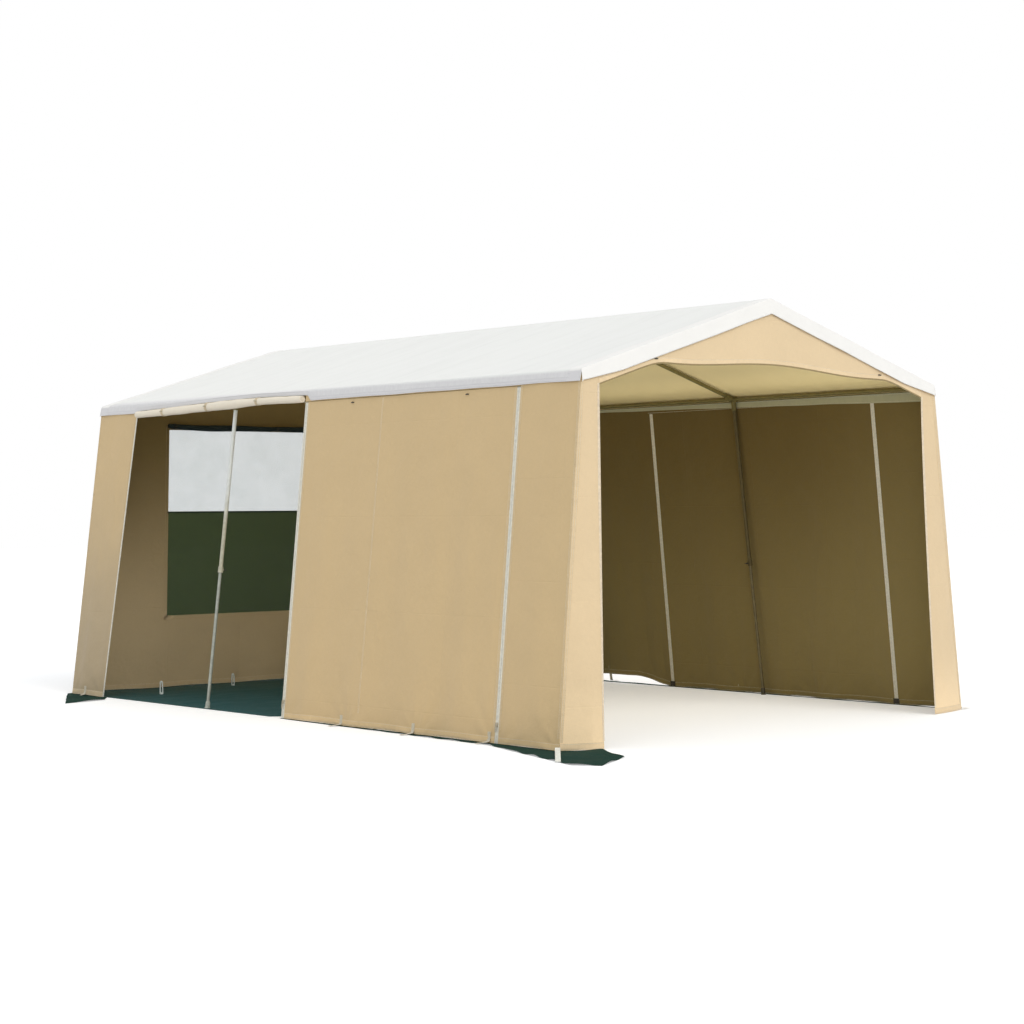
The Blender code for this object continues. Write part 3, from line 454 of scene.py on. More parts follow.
class Finish:
    """A material: one Principled shader and the nodes that feed it."""

    def __init__(self, name, **constants):
        self.made = bpy.data.materials.new(name)
        self.made.use_nodes = True
        self.tree = self.made.node_tree
        self.shader = self.tree.nodes["Principled BSDF"]
        for socket, value in constants.items():
            self.feed(socket.replace("_", " ").title().replace("Ior", "IOR"), value)

    def node(self, kind, settings=None, sockets=None, out=0):
        """Any node: its settings first, then its sockets' values or links."""
        node = self.tree.nodes.new("ShaderNode" + kind)
        for key, value in (settings or {}).items():
            setattr(node, key, value)
        for key, value in (sockets or {}).items():
            self.plug(node.inputs[key], value)
        return Wire(self, node.outputs[out])

    def plug(self, entry, value):
        """Links a wire to a socket, or sets it; a colour of three parts gets its alpha."""
        if isinstance(value, Wire):
            self.tree.links.new(value.socket, entry)
        else:
            entry.default_value = (*value, 1) if entry.type == "RGBA" and len(value) == 3 else value

    def feed(self, socket, value):
        """Sets or links one of the shader's own sockets."""
        self.plug(self.shader.inputs[socket], value)

    def split(self, vector):
        node = self.node("SeparateXYZ", sockets={0: vector}).socket.node
        return [Wire(self, socket) for socket in node.outputs]

    def place(self):
        """The piece's own place, in metres, and its three parts."""
        at = self.node("TexCoord", out="Object")
        return at, *self.split(at)

    def map(self):
        """The piece's map, in metres along the cloth, and its two parts."""
        at = self.node("UVMap", {"uv_map": "UV"})
        return at, *self.split(at)[:2]

    def stretched(self, vector, scale):
        return self.node("VectorMath", {"operation": "MULTIPLY"}, {0: vector, 1: scale})

    def noise(self, at, scale, detail=3.0, roughness=0.55):
        return self.node("TexNoise", {}, {"Vector": at, "Scale": scale, "Detail": detail, "Roughness": roughness})

    def mix(self, factor, first, second):
        """From the first colour to the second as the factor goes from 0 to 1."""
        return self.node("Mix", {"data_type": "RGBA"}, {0: factor, 6: first, 7: second}, out=2)

    def toned(self, factor, color, dark, light):
        """A colour from its darker to its lighter shade."""
        return self.mix(factor, shade(color, dark), shade(color, light))

    def sewn(self, u, row, groove, thread, pitch, stitch, gather, reach):
        """Rows of stitches: the groove that they sink into, the stitches, and the puckers beside them."""
        stitches = (row < thread) * ((u % pitch) < stitch)
        return row.ramp(0.0, groove, 1, 0), stitches, u.wave(gather) * row.ramp(0.0, reach, 1, 0)

    def relief(self, height):
        """Feeds the shader's normal from a height in metres."""
        self.feed("Normal", self.node("Bump", {}, {"Strength": 1.0, "Distance": 1.0, "Height": height}))


def woven(name, color, pitch=WEAVE, damp=0.08, sheen=0.15, painted_low_color=None, painted_heights=(0.4, 1.9), painted_front_light=0.0):
    """Plain weave cloth. Height: crossed threads, slubs, soft creases and packing folds half a metre apart.
    Colour: slow mottle, fine flecks along both thread ways, and a damp, dusty hem. A cloth given a low colour
    turns to it from the upper height down to the lower one, as painted shade and light that follow height, and
    with painted front light it also turns to it towards the open front."""
    cloth = Finish(name, sheen_weight=sheen, sheen_roughness=0.6, specular_ior_level=0.25)
    at, u, v = cloth.map()
    _, x, _, z = cloth.place()
    threads = u.wave(pitch) * v.wave(pitch)
    warp = cloth.noise(cloth.stretched(at, (900, 30, 1)), 1.0, 2.0)
    weft = cloth.noise(cloth.stretched(at, (30, 900, 1)), 1.0, 2.0)
    slub = warp * weft
    mottle = cloth.noise(at, 2.3, 5.0, 0.6)
    crease = cloth.noise(at, 5.0, 4.0, 0.45)
    fine = cloth.noise(at, 38.0, 3.0, 0.6)
    folds = (u, 0.11, 0.62), (v, 0.2, 0.55)
    packed = [abs((way + start) % gap - gap / 2).ramp(0, 0.006, 1, 0) for way, start, gap in folds]
    height = threads * YARN + slub * 0.0005 + crease * 0.012 + fine * 0.0009 - (packed[0] + packed[1]) * 0.0006
    tone = (mottle * 0.2 + slub * 0.5 + fine * 0.10).ramp(0.10, 0.62)
    body = cloth.toned(tone, color, 0.90, 1.09)
    if painted_low_color:
        # Painted shade and light that follow height: the cloth turns to its low colour towards the ground.
        worn = cloth.toned(tone, painted_low_color, 0.90, 1.09)
        body = cloth.mix((z + (mottle - 0.5) * 0.25).ramp(*painted_heights, 1.0, 0.0), body, worn)
        if painted_front_light:
            # Painted light from the open front.
            body = cloth.mix(x.ramp(1.2, 2.4, 0.0, painted_front_light), body, worn)
    dust = z.ramp(0.0, 0.22, damp, 0.0) * cloth.noise(at, 9.0, 4.0).ramp(0.3, 0.7)
    cloth.feed("Base Color", cloth.mix(dust, body, (color[0] * 0.62, color[1] * 0.62, color[2] * 0.55)))
    cloth.feed("Roughness", fine.ramp(0.3, 0.7, 0.83, 0.93))
    cloth.relief(height)
    return cloth.made


def stitched(name, color, width, painted_low_color=None, painted_heights=(0.4, 1.9)):
    """A hem or seam tape: weave, with a row of stitches near each edge of its width, sunk into the cloth, and
    painted shade in their grooves. One given a low colour turns to it lower down, as painted shade and light that
    follow height, as its cloth does."""
    cloth = Finish(name, sheen_weight=0.15, sheen_roughness=0.6, specular_ior_level=0.25)
    at, u, v = cloth.map()
    threads = u.wave(WEAVE) * v.wave(WEAVE)
    mottle = cloth.noise(at, 3.0, 4.0, 0.6)
    fine = cloth.noise(at, 42.0, 3.0, 0.6)
    row = abs(abs(v - width / 2) - (width / 2 - 0.0045))
    groove, stitch, puckers = cloth.sewn(u, row, 0.0022, 0.0007, 0.0065, 0.0045, 0.013, 0.009)
    tone = cloth.toned((mottle * 0.6 + fine * 0.4).ramp(0.3, 0.7), color, 0.93, 1.06)
    thread = (0.80, 0.74, 0.60)
    if painted_low_color:
        # Painted shade and light that follow height, as on the cloth.
        tone = cloth.mix(cloth.place()[3].ramp(*painted_heights, 1.0, 0.0), tone, painted_low_color)
        thread = shade(painted_low_color, 1.15)
    # Painted shade in the stitches' grooves.
    tone = cloth.mix(groove * 0.35, tone, shade(color, 0.6))
    cloth.feed("Base Color", cloth.mix(stitch, tone, thread))
    cloth.feed("Roughness", fine.ramp(0.3, 0.7, 0.84, 0.92))
    cloth.relief(threads * YARN + fine * 0.0006 - groove * 0.0007 + stitch * 0.0005 + puckers * 0.0003)
    return cloth.made


def coated(name, color, roughness=0.42, grain=0.0023, crease=0.006, gloss=0.4, below=None, under=False):
    """Coated cloth: a smooth film with the grid of its yarns showing faintly, soft creases and a little grime.
    Below a height, where a cover turns down beside the walls, it is greyer, more so to the rear: painted shade
    with some dust. A cover's lining is painted darker towards the ridge and paler towards the eaves, as painted
    shade and light under the roof."""
    cloth = Finish(name, specular_ior_level=gloss)
    at, u, v = cloth.map()
    _, x, _, z = cloth.place()
    soft = cloth.noise(at, 3.4, 4.0, 0.5)
    fine = cloth.noise(at, 55.0, 3.0, 0.6)
    grime = cloth.noise(cloth.stretched(at, (9, 1.2, 1)), 1.0, 5.0, 0.6)
    dull = cloth.mix(grime.ramp(0.45, 0.8) * 0.2, color, shade(color, 0.80))
    if below:
        # The grey where the cover turns down is painted shade with some dust.
        turn = z - x.ramp(-1.5, 2.2, 0.026, 0.0)
        dull = cloth.mix(turn.ramp(below - 0.014, below + 0.012, 1, 0), dull, VALANCE_SHADE_AND_DUST_GREY)
    dull = cloth.mix(fine.ramp(0.35, 0.65) * (0.2 if below else 0.5), dull, shade(color, 1.04))
    if under:
        # Painted light and shade on the lining: paler near the eaves, darker towards the ridge.
        dull = cloth.mix(z.ramp(2.02, 2.09, 0.85, 0.0), dull, shade(color, 1.13))
        dull = cloth.mix(z.ramp(2.07, 2.15, 0.0, 0.85), dull, shade(color, 0.82))
    cloth.feed("Base Color", dull)
    cloth.feed("Roughness", (grime * 0.5 + fine * 0.5).ramp(0.3, 0.7, roughness - 0.07, roughness + 0.10))
    cloth.relief((u.wave(grain) + v.wave(grain)) * 0.00005 + soft * crease + fine * 0.0003)
    return cloth.made


def coated_hem(name, color, width, thread):
    """A coated hem: the cover's film over a stitched fold."""
    band = Finish(name, specular_ior_level=0.4)
    at, u, v = band.map()
    fine = band.noise(at, 48.0, 3.0, 0.6)
    soft = band.noise(at, 5.0, 4.0, 0.5)
    row = abs(abs(v - width / 2) - (width / 2 - 0.005))
    groove, stitch, pucker = band.sewn(u, row, 0.0025, 0.0008, 0.007, 0.005, 0.016, 0.012)
    grime = band.noise(band.stretched(at, (1.5, 9, 1)), 1.0, 5.0, 0.6).ramp(0.5, 0.8)
    tone = band.mix(grime * 0.25, color, shade(color, 0.82))
    # Painted shade in the stitches' grooves.
    tone = band.mix(groove * 0.3, tone, shade(color, 0.66))
    band.feed("Base Color", band.mix(stitch, tone, thread))
    band.feed("Roughness", (fine * 0.5 + soft * 0.5).ramp(0.3, 0.7, 0.38, 0.52))
    band.relief(soft * 0.004 + fine * 0.0003 - groove * 0.0008 + stitch * 0.0005 + pucker * 0.0004)
    return band.made


def wide_band(name, color, width):
    """The cover's wide end hem: three rows of stitches far apart, on a brighter double layer, with painted shade in
    their grooves. Where it turns down over the side walls it is grey, painted shade with some dust, as the valance is."""
    band = Finish(name, specular_ior_level=0.4)
    at, u, v = band.map()
    _, x, _, z = band.place()
    fine = band.noise(at, 44.0, 3.0, 0.6)
    soft = band.noise(at, 6.0, 4.0, 0.5)
    row = abs(v - 0.008).math("MINIMUM", abs(v - 0.095)).math("MINIMUM", abs(v - (width - 0.008)))
    groove, stitch, pucker = band.sewn(u, row, 0.003, 0.0009, 0.008, 0.0055, 0.021, 0.016)
    tone = band.mix(soft.ramp(0.4, 0.75) * 0.25, color, shade(color, 0.90))
    # Painted shade in the stitches' grooves.
    tone = band.mix(groove * 0.3, tone, shade(color, 0.68))
    # The grey over the side walls is painted shade with some dust.
    tone = band.mix(z.ramp(1.988, 2.000, 1, 0) * (abs(x) < 2.5030), tone, VALANCE_SHADE_AND_DUST_GREY)
    band.feed("Base Color", band.mix(stitch, tone, (0.66, 0.66, 0.66)))
    band.feed("Roughness", (fine * 0.5 + soft * 0.5).ramp(0.3, 0.7, 0.36, 0.50))
    band.relief(soft * 0.004 + fine * 0.0003 - groove * 0.0009 + stitch * 0.0005 + pucker * 0.0006)
    return band.made


def webbing(name, color):
    """Woven strap: ribs across it every 1.6 mm and thicker edges."""
    strap = Finish(name, sheen_weight=0.2, sheen_roughness=0.5, specular_ior_level=0.3)
    at, u, v = strap.map()
    ribs = v.wave(0.0016)
    wear = strap.noise(at, 60.0, 4.0, 0.6)
    strap.feed("Base Color", strap.toned((wear + ribs * 0.15).ramp(0.3, 0.75), color, 0.82, 1.06))
    strap.feed("Roughness", wear.ramp(0.3, 0.7, 0.72, 0.86))
    strap.relief(ribs * 0.00018 + u.wave(0.0022) * 0.0001 + wear * 0.0004)
    return strap.made


def tube_steel(name, color, metal, roughness, scuff, upper=None):
    """Tube: drawn lines along it, a mottled coat, scuffs, and dirt low down. It may turn to another colour above."""
    steel = Finish(name)
    at, _, _, z = steel.place()
    drawn = steel.noise(steel.stretched(at, (260, 260, 6)), 1.0, 3.0)
    coat = steel.noise(at, 34.0, 5.0, 0.65)
    scratch = steel.noise(steel.stretched(at, (700, 700, 45)), 1.0, 2.0).ramp(0.68, 0.74)
    low = z.ramp(0.0, 0.16, 0.5, 0.0) * coat.ramp(0.35, 0.65)
    tone = steel.toned(coat.ramp(0.3, 0.7), color, 0.82, 1.12)
    if upper:
        tone = steel.mix(z.ramp(1.15, 1.45), tone, steel.toned(coat.ramp(0.3, 0.7), upper, 0.9, 1.08))
    tone = steel.mix(scratch * 0.7, tone, scuff)
    steel.feed("Base Color", steel.mix(low, tone, (0.11, 0.09, 0.06)))
    steel.feed("Metallic", (1 - low) * metal)
    steel.feed("Roughness", coat.ramp(0.3, 0.7, roughness - 0.06, roughness + 0.10) + low * 0.3)
    steel.relief(drawn * 0.00006 + coat * 0.0002 - scratch * 0.00008)
    return steel.made


def moulded(name, color, roughness=0.5):
    """Moulded plastic: a fine spark-worn grain and paler rubbed edges."""
    plastic = Finish(name)
    at = plastic.place()[0]
    grain = plastic.noise(at, 900.0, 2.0)
    rubbed = plastic.noise(at, 70.0, 4.0, 0.6)
    plastic.feed("Base Color", plastic.toned(rubbed.ramp(0.4, 0.75) * 0.6, color, 1, 1.9))
    plastic.feed("Roughness", rubbed.ramp(0.3, 0.7, roughness - 0.06, roughness + 0.12))
    plastic.relief(grain * 0.00008 + rubbed * 0.0003)
    return plastic.made


def window_clear(name):
    """Clear film: almost see-through, with a milky bloom and soft ripples."""
    film = Finish(name, ior=1.45)
    at = film.map()[0]
    bloom = film.noise(at, 4.0, 5.0, 0.6)
    film.feed("Base Color", film.mix(bloom.ramp(0.3, 0.7), (0.42, 0.62, 0.72), (0.46, 0.65, 0.74)))
    film.feed("Alpha", bloom.ramp(0.3, 0.7, 0.22, 0.26))
    film.feed("Roughness", bloom.ramp(0.3, 0.7, 0.10, 0.22))
    film.relief(film.noise(at, 7.0, 3.0, 0.5) * 0.004)
    return film.made


def window_net(name, color):
    """Insect net: fine crossed threads 2.5 mm apart, with the holes between them in shade."""
    net = Finish(name, specular_ior_level=0.2)
    at, u, v = net.map()
    threads = abs(u.wave(0.005)).math("MAXIMUM", abs(v.wave(0.005)))
    coarse = net.noise(at, 240.0, 2.0)
    bright = net.toned(coarse, color, 0.9, 1.35)
    net.feed("Base Color", net.mix(threads.ramp(0.75, 0.95), shade(color, 0.55), bright))
    net.feed("Roughness", coarse.ramp(0.3, 0.7, 0.75, 0.9))
    net.feed("Alpha", threads.ramp(0.7, 0.95, 0.82, 1.0))
    net.relief(threads * 0.0003 + coarse * 0.0004)
    return net.made


SAND = (0.655, 0.480, 0.252)
# Painted shade: the near rear corner's colour near the ground, and the inner faces darkened as shade, darkest under
# the eaves and lighter lower down.
SAND_SHADED_LOW = (0.455, 0.354, 0.215)
SAND_INSIDE_SHADED = (0.175, 0.120, 0.028)
SAND_INSIDE_PAINTED_LIGHT_LOW = (0.290, 0.220, 0.078)
REAR_INSIDE_SHADED = (0.200, 0.142, 0.050)
REAR_INSIDE_PAINTED_LIGHT_LOW = (0.640, 0.498, 0.300)
PALE = (0.755, 0.580, 0.355)
WHITE = (0.80, 0.80, 0.765)
# The valance's grey: painted shade with some dust.
VALANCE_SHADE_AND_DUST_GREY = (0.655, 0.643, 0.643)
CREAM = (0.74, 0.71, 0.60)
TEAL = (0.013, 0.078, 0.088)
# Heights over which the painted shade changes.
CORNER_SHADE_HEIGHTS = (0.3, 1.6)
REAR_SHADE_HEIGHTS = (0.35, 1.95)

canvas = woven("sand canvas", SAND)
# The near rear corner is painted darker towards the ground, as shade.
canvas_corner = woven("sand canvas, corner with painted shade", shade(SAND, 0.97), painted_low_color=SAND_SHADED_LOW, painted_heights=CORNER_SHADE_HEIGHTS)
# The inner faces are painted dark as shade, most under the eaves, lighter lower down; the side walls' inner face is
# also painted lighter towards the open front.
canvas_inside = woven("sand canvas, inner face", SAND_INSIDE_SHADED, damp=0.1, painted_low_color=SAND_INSIDE_PAINTED_LIGHT_LOW, painted_front_light=0.3)
canvas_rear_inside = woven(
    "sand canvas, inner face at the rear", REAR_INSIDE_SHADED, damp=0.05, painted_low_color=REAR_INSIDE_PAINTED_LIGHT_LOW, painted_heights=REAR_SHADE_HEIGHTS
)
canvas_pale = woven("pale sand canvas", shade(PALE, 1.03), damp=0.04)
# The corner strips are painted lighter towards the ground, as painted light.
canvas_strip = woven("pale sand canvas, corner strips, painted light low", PALE, damp=0.0, painted_low_color=shade(PALE, 1.2), painted_heights=(0.02, 0.42))
# The rolled door is paler than its canvas: painted light on the roll.
canvas_rolled = woven("sand canvas, rolled up, painted light", (0.84, 0.755, 0.61), damp=0.0)
blind_cloth = woven("dark blind cloth", (0.018, 0.030, 0.034), pitch=0.0006, damp=0.0, sheen=0.03)

canvas_hem = stitched("sand canvas hem", shade(SAND, 1.10), HEM_WIDTH)
# The corner's hem takes its painted shade.
corner_hem = stitched("corner hem with painted shade", shade(SAND_SHADED_LOW, 1.35), HEM_WIDTH)
# The inner hems take the inner faces' painted low colours.
hem_inside = stitched("sand canvas hem, inner face", SAND_INSIDE_PAINTED_LIGHT_LOW, HEM_WIDTH)
rear_hem_inside = stitched("rear hem, inner face", REAR_INSIDE_PAINTED_LIGHT_LOW, HEM_WIDTH)
pale_hem = stitched("pale sand canvas hem", shade(PALE, 1.03), HEM_WIDTH)
eave_tape = stitched("pale eave tape", (0.51, 0.50, 0.325), HEM_WIDTH)
canvas_facing = stitched("sand canvas facing", shade(SAND, 0.97), FACING)
# The corner's facing takes its painted shade.
corner_facing = stitched("corner facing with painted shade", shade(SAND, 0.94), FACING, SAND_SHADED_LOW, CORNER_SHADE_HEIGHTS)
# Its colour between the strip's and the wall's is painted shade where the corner turns.
pale_facing = stitched("pale sand canvas facing, painted corner shade", (0.70, 0.53, 0.31), FACING)
# The inner seam tape takes the inner face's painted shade.
tape_inside = stitched("seam tape, inner face", SAND_INSIDE_SHADED, FACING)
# The window binding takes the rear wall's painted shade inside.
binding_inside = stitched(
    "window binding", shade(REAR_INSIDE_SHADED, 0.95), BINDING, shade(REAR_INSIDE_PAINTED_LIGHT_LOW, 0.95), REAR_SHADE_HEIGHTS
)

# The grey low on the cover, and on the valance hem, is painted shade with some dust.
roof_white = coated("white coated cloth", WHITE, below=1.995)
# The lining is painted paler near the eaves and darker towards the ridge: painted light and shade.
roof_inside = coated("roof lining face", (0.88, 0.735, 0.39), roughness=0.6, under=True)
roof_stitched = coated_hem("white cover hem, stitched", VALANCE_SHADE_AND_DUST_GREY, 0.024, (0.62, 0.62, 0.62))
roof_band = wide_band("white cover end hem", (0.848, 0.832, 0.795), 0.2)
sheet_teal = coated("teal groundsheet", TEAL, roughness=0.56, crease=0.012, grain=0.0018, gloss=0.25)
teal_hem = coated_hem("teal groundsheet hem", shade(TEAL, 1.1), 0.024, (0.06, 0.10, 0.10))
flap_green = coated(
    "dark green flap cloth", (0.021, 0.050, 0.040), roughness=0.75, crease=0.012, grain=0.0018, gloss=0.02
)
film = window_clear("clear window film")
net = window_net("green insect net", (0.085, 0.132, 0.047))

# The far zips' tape is a paler copy of the near one's: painted light for the darker inside.
zip_tape = {
    "near": webbing("cream zip tape", shade(CREAM, 1.15)),
    "far": webbing("cream zip tape, far side, painted light", shade(CREAM, 1.22)),
}
strap_cream = webbing("cream webbing", (0.66, 0.60, 0.46))
strap_sand = webbing("sand webbing", (0.70, 0.57, 0.37))
strap_pale = webbing("pale webbing", (0.89, 0.88, 0.78))
strap_dark = webbing("dark brown webbing", (0.060, 0.050, 0.034))
strap_green = webbing("dark green tape", (0.03, 0.055, 0.03))
strap_black = webbing("black webbing", (0.010, 0.011, 0.010))
gable_edging = webbing("brown edging tape", (0.34, 0.25, 0.11))
strip_tape = webbing("pale strip tape", (0.84, 0.70, 0.51))
elastic = webbing("white elastic", (0.74, 0.78, 0.73))

plastic_dark = moulded("dark moulded plastic", (0.022, 0.022, 0.020))
toggle_grey = moulded("grey moulded toggle", (0.42, 0.38, 0.27))
zip_teeth = moulded("cream zip teeth", (0.70, 0.68, 0.60), 0.35)
# The olive is darkened in part as painted shade under the roof.
steel = tube_steel("olive coated tube, partly painted shade", (0.21, 0.175, 0.058), 0.2, 0.50, (0.40, 0.37, 0.26))
brass = tube_steel("plated zip slider", (0.50, 0.46, 0.36), 0.95, 0.32, (0.70, 0.66, 0.55))
# The near legs are painted as sunlit, cream and grey, and the far legs as in shade, dark olive: lit and shaded copies
# of one finish.
leg_steel = {
    "near": (
        tube_steel("cream leg tube, painted sunlight", (0.455, 0.435, 0.33), 0.15, 0.46, (0.60, 0.58, 0.50), (0.66, 0.68, 0.64)),
        tube_steel("inner leg tube, painted sunlight", (0.36, 0.38, 0.33), 0.45, 0.40, (0.52, 0.53, 0.49)),
        moulded("moulded foot, painted sunlight", (0.30, 0.32, 0.28)),
    ),
    "far": (
        tube_steel("leg tube, painted shade", (0.13, 0.10, 0.035), 0.15, 0.52, (0.26, 0.23, 0.14)),
        tube_steel("inner leg tube, painted shade", (0.19, 0.155, 0.075), 0.25, 0.46, (0.32, 0.29, 0.20)),
        moulded("moulded foot, painted shade", (0.060, 0.052, 0.030)),
    ),
}


# Side walls


class Wall:
    """A side wall's cloth between two edges, each a function from height to x.

    A point is given by its fraction of the way across and its height. The cloth stands out from the wall's plane
    by folds that grow towards the ground, drapes between them, creases that fan up from each peg loop, and small
    puckers along its seams. All of them push outwards only, and die out beside a hinge."""

    def __init__(self, side, left, right, seed, top=WALL_TOP, hinged=False, hitch=0.0):
        self.sign = SIDES[side]
        self.left, self.right = left, right
        self.seed = seed
        self.top = top
        self.hinged = hinged
        self.hitch = hitch
        self.width = right(EAVE_HEIGHT) - left(EAVE_HEIGHT)
        self.loops = max(1, round(self.width / LOOP_PITCH))
        self.waves = max(1, round(self.width / FOLD_PITCH))
        self.lift = HEM_LIFT * (0.08 if side == "far" else 0.2)

    def hem(self, fraction):
        """Height of the hem, which lifts between its peg loops and may be hitched up towards its right edge."""
        hitched = self.hitch * ease((fraction - 0.55) / 0.2) * ease((1.01 - fraction) / 0.16)
        return HEM_CLEAR + hitched + self.lift * swing(self.loops * fraction)

    def push(self, fraction, height):
        """How far the cloth stands out from the wall's plane."""
        fall = np.clip(1 - height / EAVE_HEIGHT, 0, 1)
        u = fraction * self.width
        aside = np.minimum(u, self.width - u)
        edge = ease(aside / 0.07)
        drift = 0.04 * ripple(u, height, self.seed, 1.1, 4)
        drapes = ridges(u + drift, height * 0.10, self.seed + 1, 0.13)
        out = FOLD_DEPTH * fall * swing(self.waves * fraction) + edge * (0.0010 + 0.0042 * fall) * drapes
        for k in range(self.loops + 1):
            beside = u - self.width * k / self.loops
            far = np.hypot(beside, height)
            fan = np.exp(-((far / 0.32) ** 2)) * (1 - np.exp(-((far / 0.05) ** 2)))
            out = out + edge * 0.0034 * fan * (0.5 + 0.5 * np.cos(11 * np.arctan2(beside, height + 0.02) + k))
        below = self.top - height
        pucker = 0.5 + 0.5 * np.sin(2 * math.pi * u / 0.052 + ripple(u, 0 * u, 3, 0.4))
        out = out + edge * 0.0010 * np.exp(-np.clip(below, 0, None) / 0.05) * pucker
        gather = 0.5 + 0.5 * np.sin(2 * math.pi * height / 0.083 + 1.5 * ripple(height, 0 * u, self.seed + 3, 0.3))
        away = np.clip(aside / 0.012, 0, 1)
        out = out + 0.0014 * away * np.exp(-aside / 0.03) * gather * np.clip(below / 0.1, 0, 1)
        return out * np.clip(np.abs(height - HINGE_Z) / HINGE_EASE, 0, 1) if self.hinged else out

    def at(self, fraction, height, out=0.0):
        """Points of the outer face, or of a face that stands further out."""
        fraction, height = np.broadcast_arrays(fraction, height)
        push = self.push(fraction, height) + out
        x = self.left(height) + (self.right(height) - self.left(height)) * fraction
        y = wall_y(height) + push * TILT[0]
        return np.stack((x, self.sign * y, height + push * TILT[1]), -1)

    def cloth(self, columns, rows, low=None):
        """The panel's sheet, from its hem or from a height, to its top. Its map is shifted so that no two panels
        share a patch of weave."""
        fraction = np.linspace(0, 1, columns + 1)
        low = self.hem(fraction) if low is None else low
        height = low + (self.top - low) * np.linspace(0, 1, rows + 1)[:, None]
        uv = fraction * self.width + 3.7 * self.seed, height + 1.9 * self.seed
        return shell(self.at(fraction, height), (0, self.sign, 0), CANVAS, uv)

    def hem_band(self, columns):
        """The folded hem: up the inside, under the edge and up the outside."""
        fraction = np.linspace(0.001, 0.999, columns + 1)
        rise = HEM_RISE * HEM_WIDTH
        points = self.at(fraction, self.hem(fraction) + rise[:, None], fold_out(HEM_FACE, CANVAS))
        return inner_rows(folded(points, HEM_FACE, 1, self.sign, fraction * self.width, rise), points, 3, 2)

    def upright(self, middle, width, low):
        """A stitched strip up the cloth, such as a seam or the facing beside a zip."""
        share = np.linspace(-0.5, 0.5, 4)
        high = self.top - (0.007 if self.hinged else 0.001)
        height = np.linspace(low + 0.03, high, 61)[:, None]
        points = self.at((middle + share * width) / self.width, height, TAPE)
        return shell(points, (0, self.sign, 0), TAPE, (height, (share + 0.5) * width), slots=(1, 1))


def edge_at(name, shift):
    """An edge up the wall, beside a zip's line."""
    return lambda z: line_x(name, z) + shift


def door_of(side):
    """A side door between its two zips, hung from its hinge seam."""
    left, right = edge_at("middle", ZIP_EDGE), edge_at("front", -ZIP_EDGE)
    return Wall(side, left, right, 3 + SIDES[side], HINGE_Z, hinged=True)


def front_of(side):
    """The fixed cloth before the door, up to the front corner."""
    return Wall(side, edge_at("front", ZIP_EDGE), front_x, 11 + SIDES[side])


def rear_of(side):
    """The fixed cloth at the rear: a corner beside the rolled door, or the far wall's long part."""
    if side == "near":
        return Wall(side, rear_x, edge_at("rear", -ZIP_EDGE), 31)
    return Wall(side, rear_x, edge_at("middle", -ZIP_EDGE), 21, hitch=FAR_HITCH)


def panel_seams(wall, zips, seams=()):
    """Hem, facings beside the panel's two edges, higher where a zip ends, and seams."""
    parts = [wall.hem_band(max(12, round(wall.width / 0.018)))]
    inset = FACING / 2 + 0.0006
    for middle, there in zip((inset, wall.width - inset), zips):
        parts.append(wall.upright(middle, FACING, HEM_WIDTH + (0.01 if there else 0)))
    return parts + [wall.upright(middle, 0.014, 0.02 + HEM_WIDTH) for middle in seams]


def side_walls():
    """The fixed side walls and the two zipped doors."""
    both, sewn = (canvas, canvas_inside), (canvas_hem, canvas_facing, hem_inside)
    for side in SIDES:
        pole, door, front = f"eave_pole_{side}_tube", door_of(side), front_of(side)
        trim = f"{side}_door_seams", panel_seams(door, (1, 1), (0.76,)), sewn
        parts, flat, holder = [door.cloth(180, 130)], (1.985, 1.94), f"{side}_header_cloth"
        body = f"{side}_side_door"
        sheet(f"{side}_door_cloth", parts, both, f"{side}_door", "canvas", trims=(trim,), body=body)
        header = Wall(side, edge_at("middle", -ZIP_EDGE), edge_at("front", ZIP_EDGE), 15 + SIDES[side], hinged=True)
        sheet(holder, [header.cloth(180, 4, low=HINGE_Z + 0.003)], both, None, "canvas")
        parts, trims = [front.cloth(48, 130)], panel_seams(front, (1, 0))
        node, width, area = "near_front_wall", 0.51, 0.50 * WALL_FLAT
        if side == "far":
            rear = rear_of(side)
            parts.append(rear.cloth(220, 120))
            trims += panel_seams(rear, (0, 1), (1.27,))
            node, width, area = "far_wall", 5.05, area + 2.53 * WALL_FLAT
        trim = f"{side}_wall_seams", trims, sewn
        sheet(f"{side}_wall_cloth", parts, both, node, "canvas", trims=(trim,))
    corner = rear_of("near")
    trim = "near_rear_seams", panel_seams(corner, (0, 1)), (corner_hem, corner_facing, hem_inside)
    parts, both, pole = [corner.cloth(48, 130)], (canvas_corner, canvas_inside), "eave_pole_near_tube"
    sheet("near_rear_cloth", parts, both, "near_rear_panel", "canvas", trims=(trim,))


# Rear wall with its window and blind


def stretches(*spans):
    """Even steps over stretches that follow each other, each given by its two ends and its number of steps."""
    return np.concatenate([np.linspace(*ends, count + 1)[:-1] for *ends, count in spans] + [[spans[-1][1]]])


def rear_drapes(y, z):
    """The rear wall's small drapes, which drift sideways as they rise."""
    return ridges(y + 0.03 * ripple(y, z, 41, 0.9), z * 0.12, 42, 0.15)


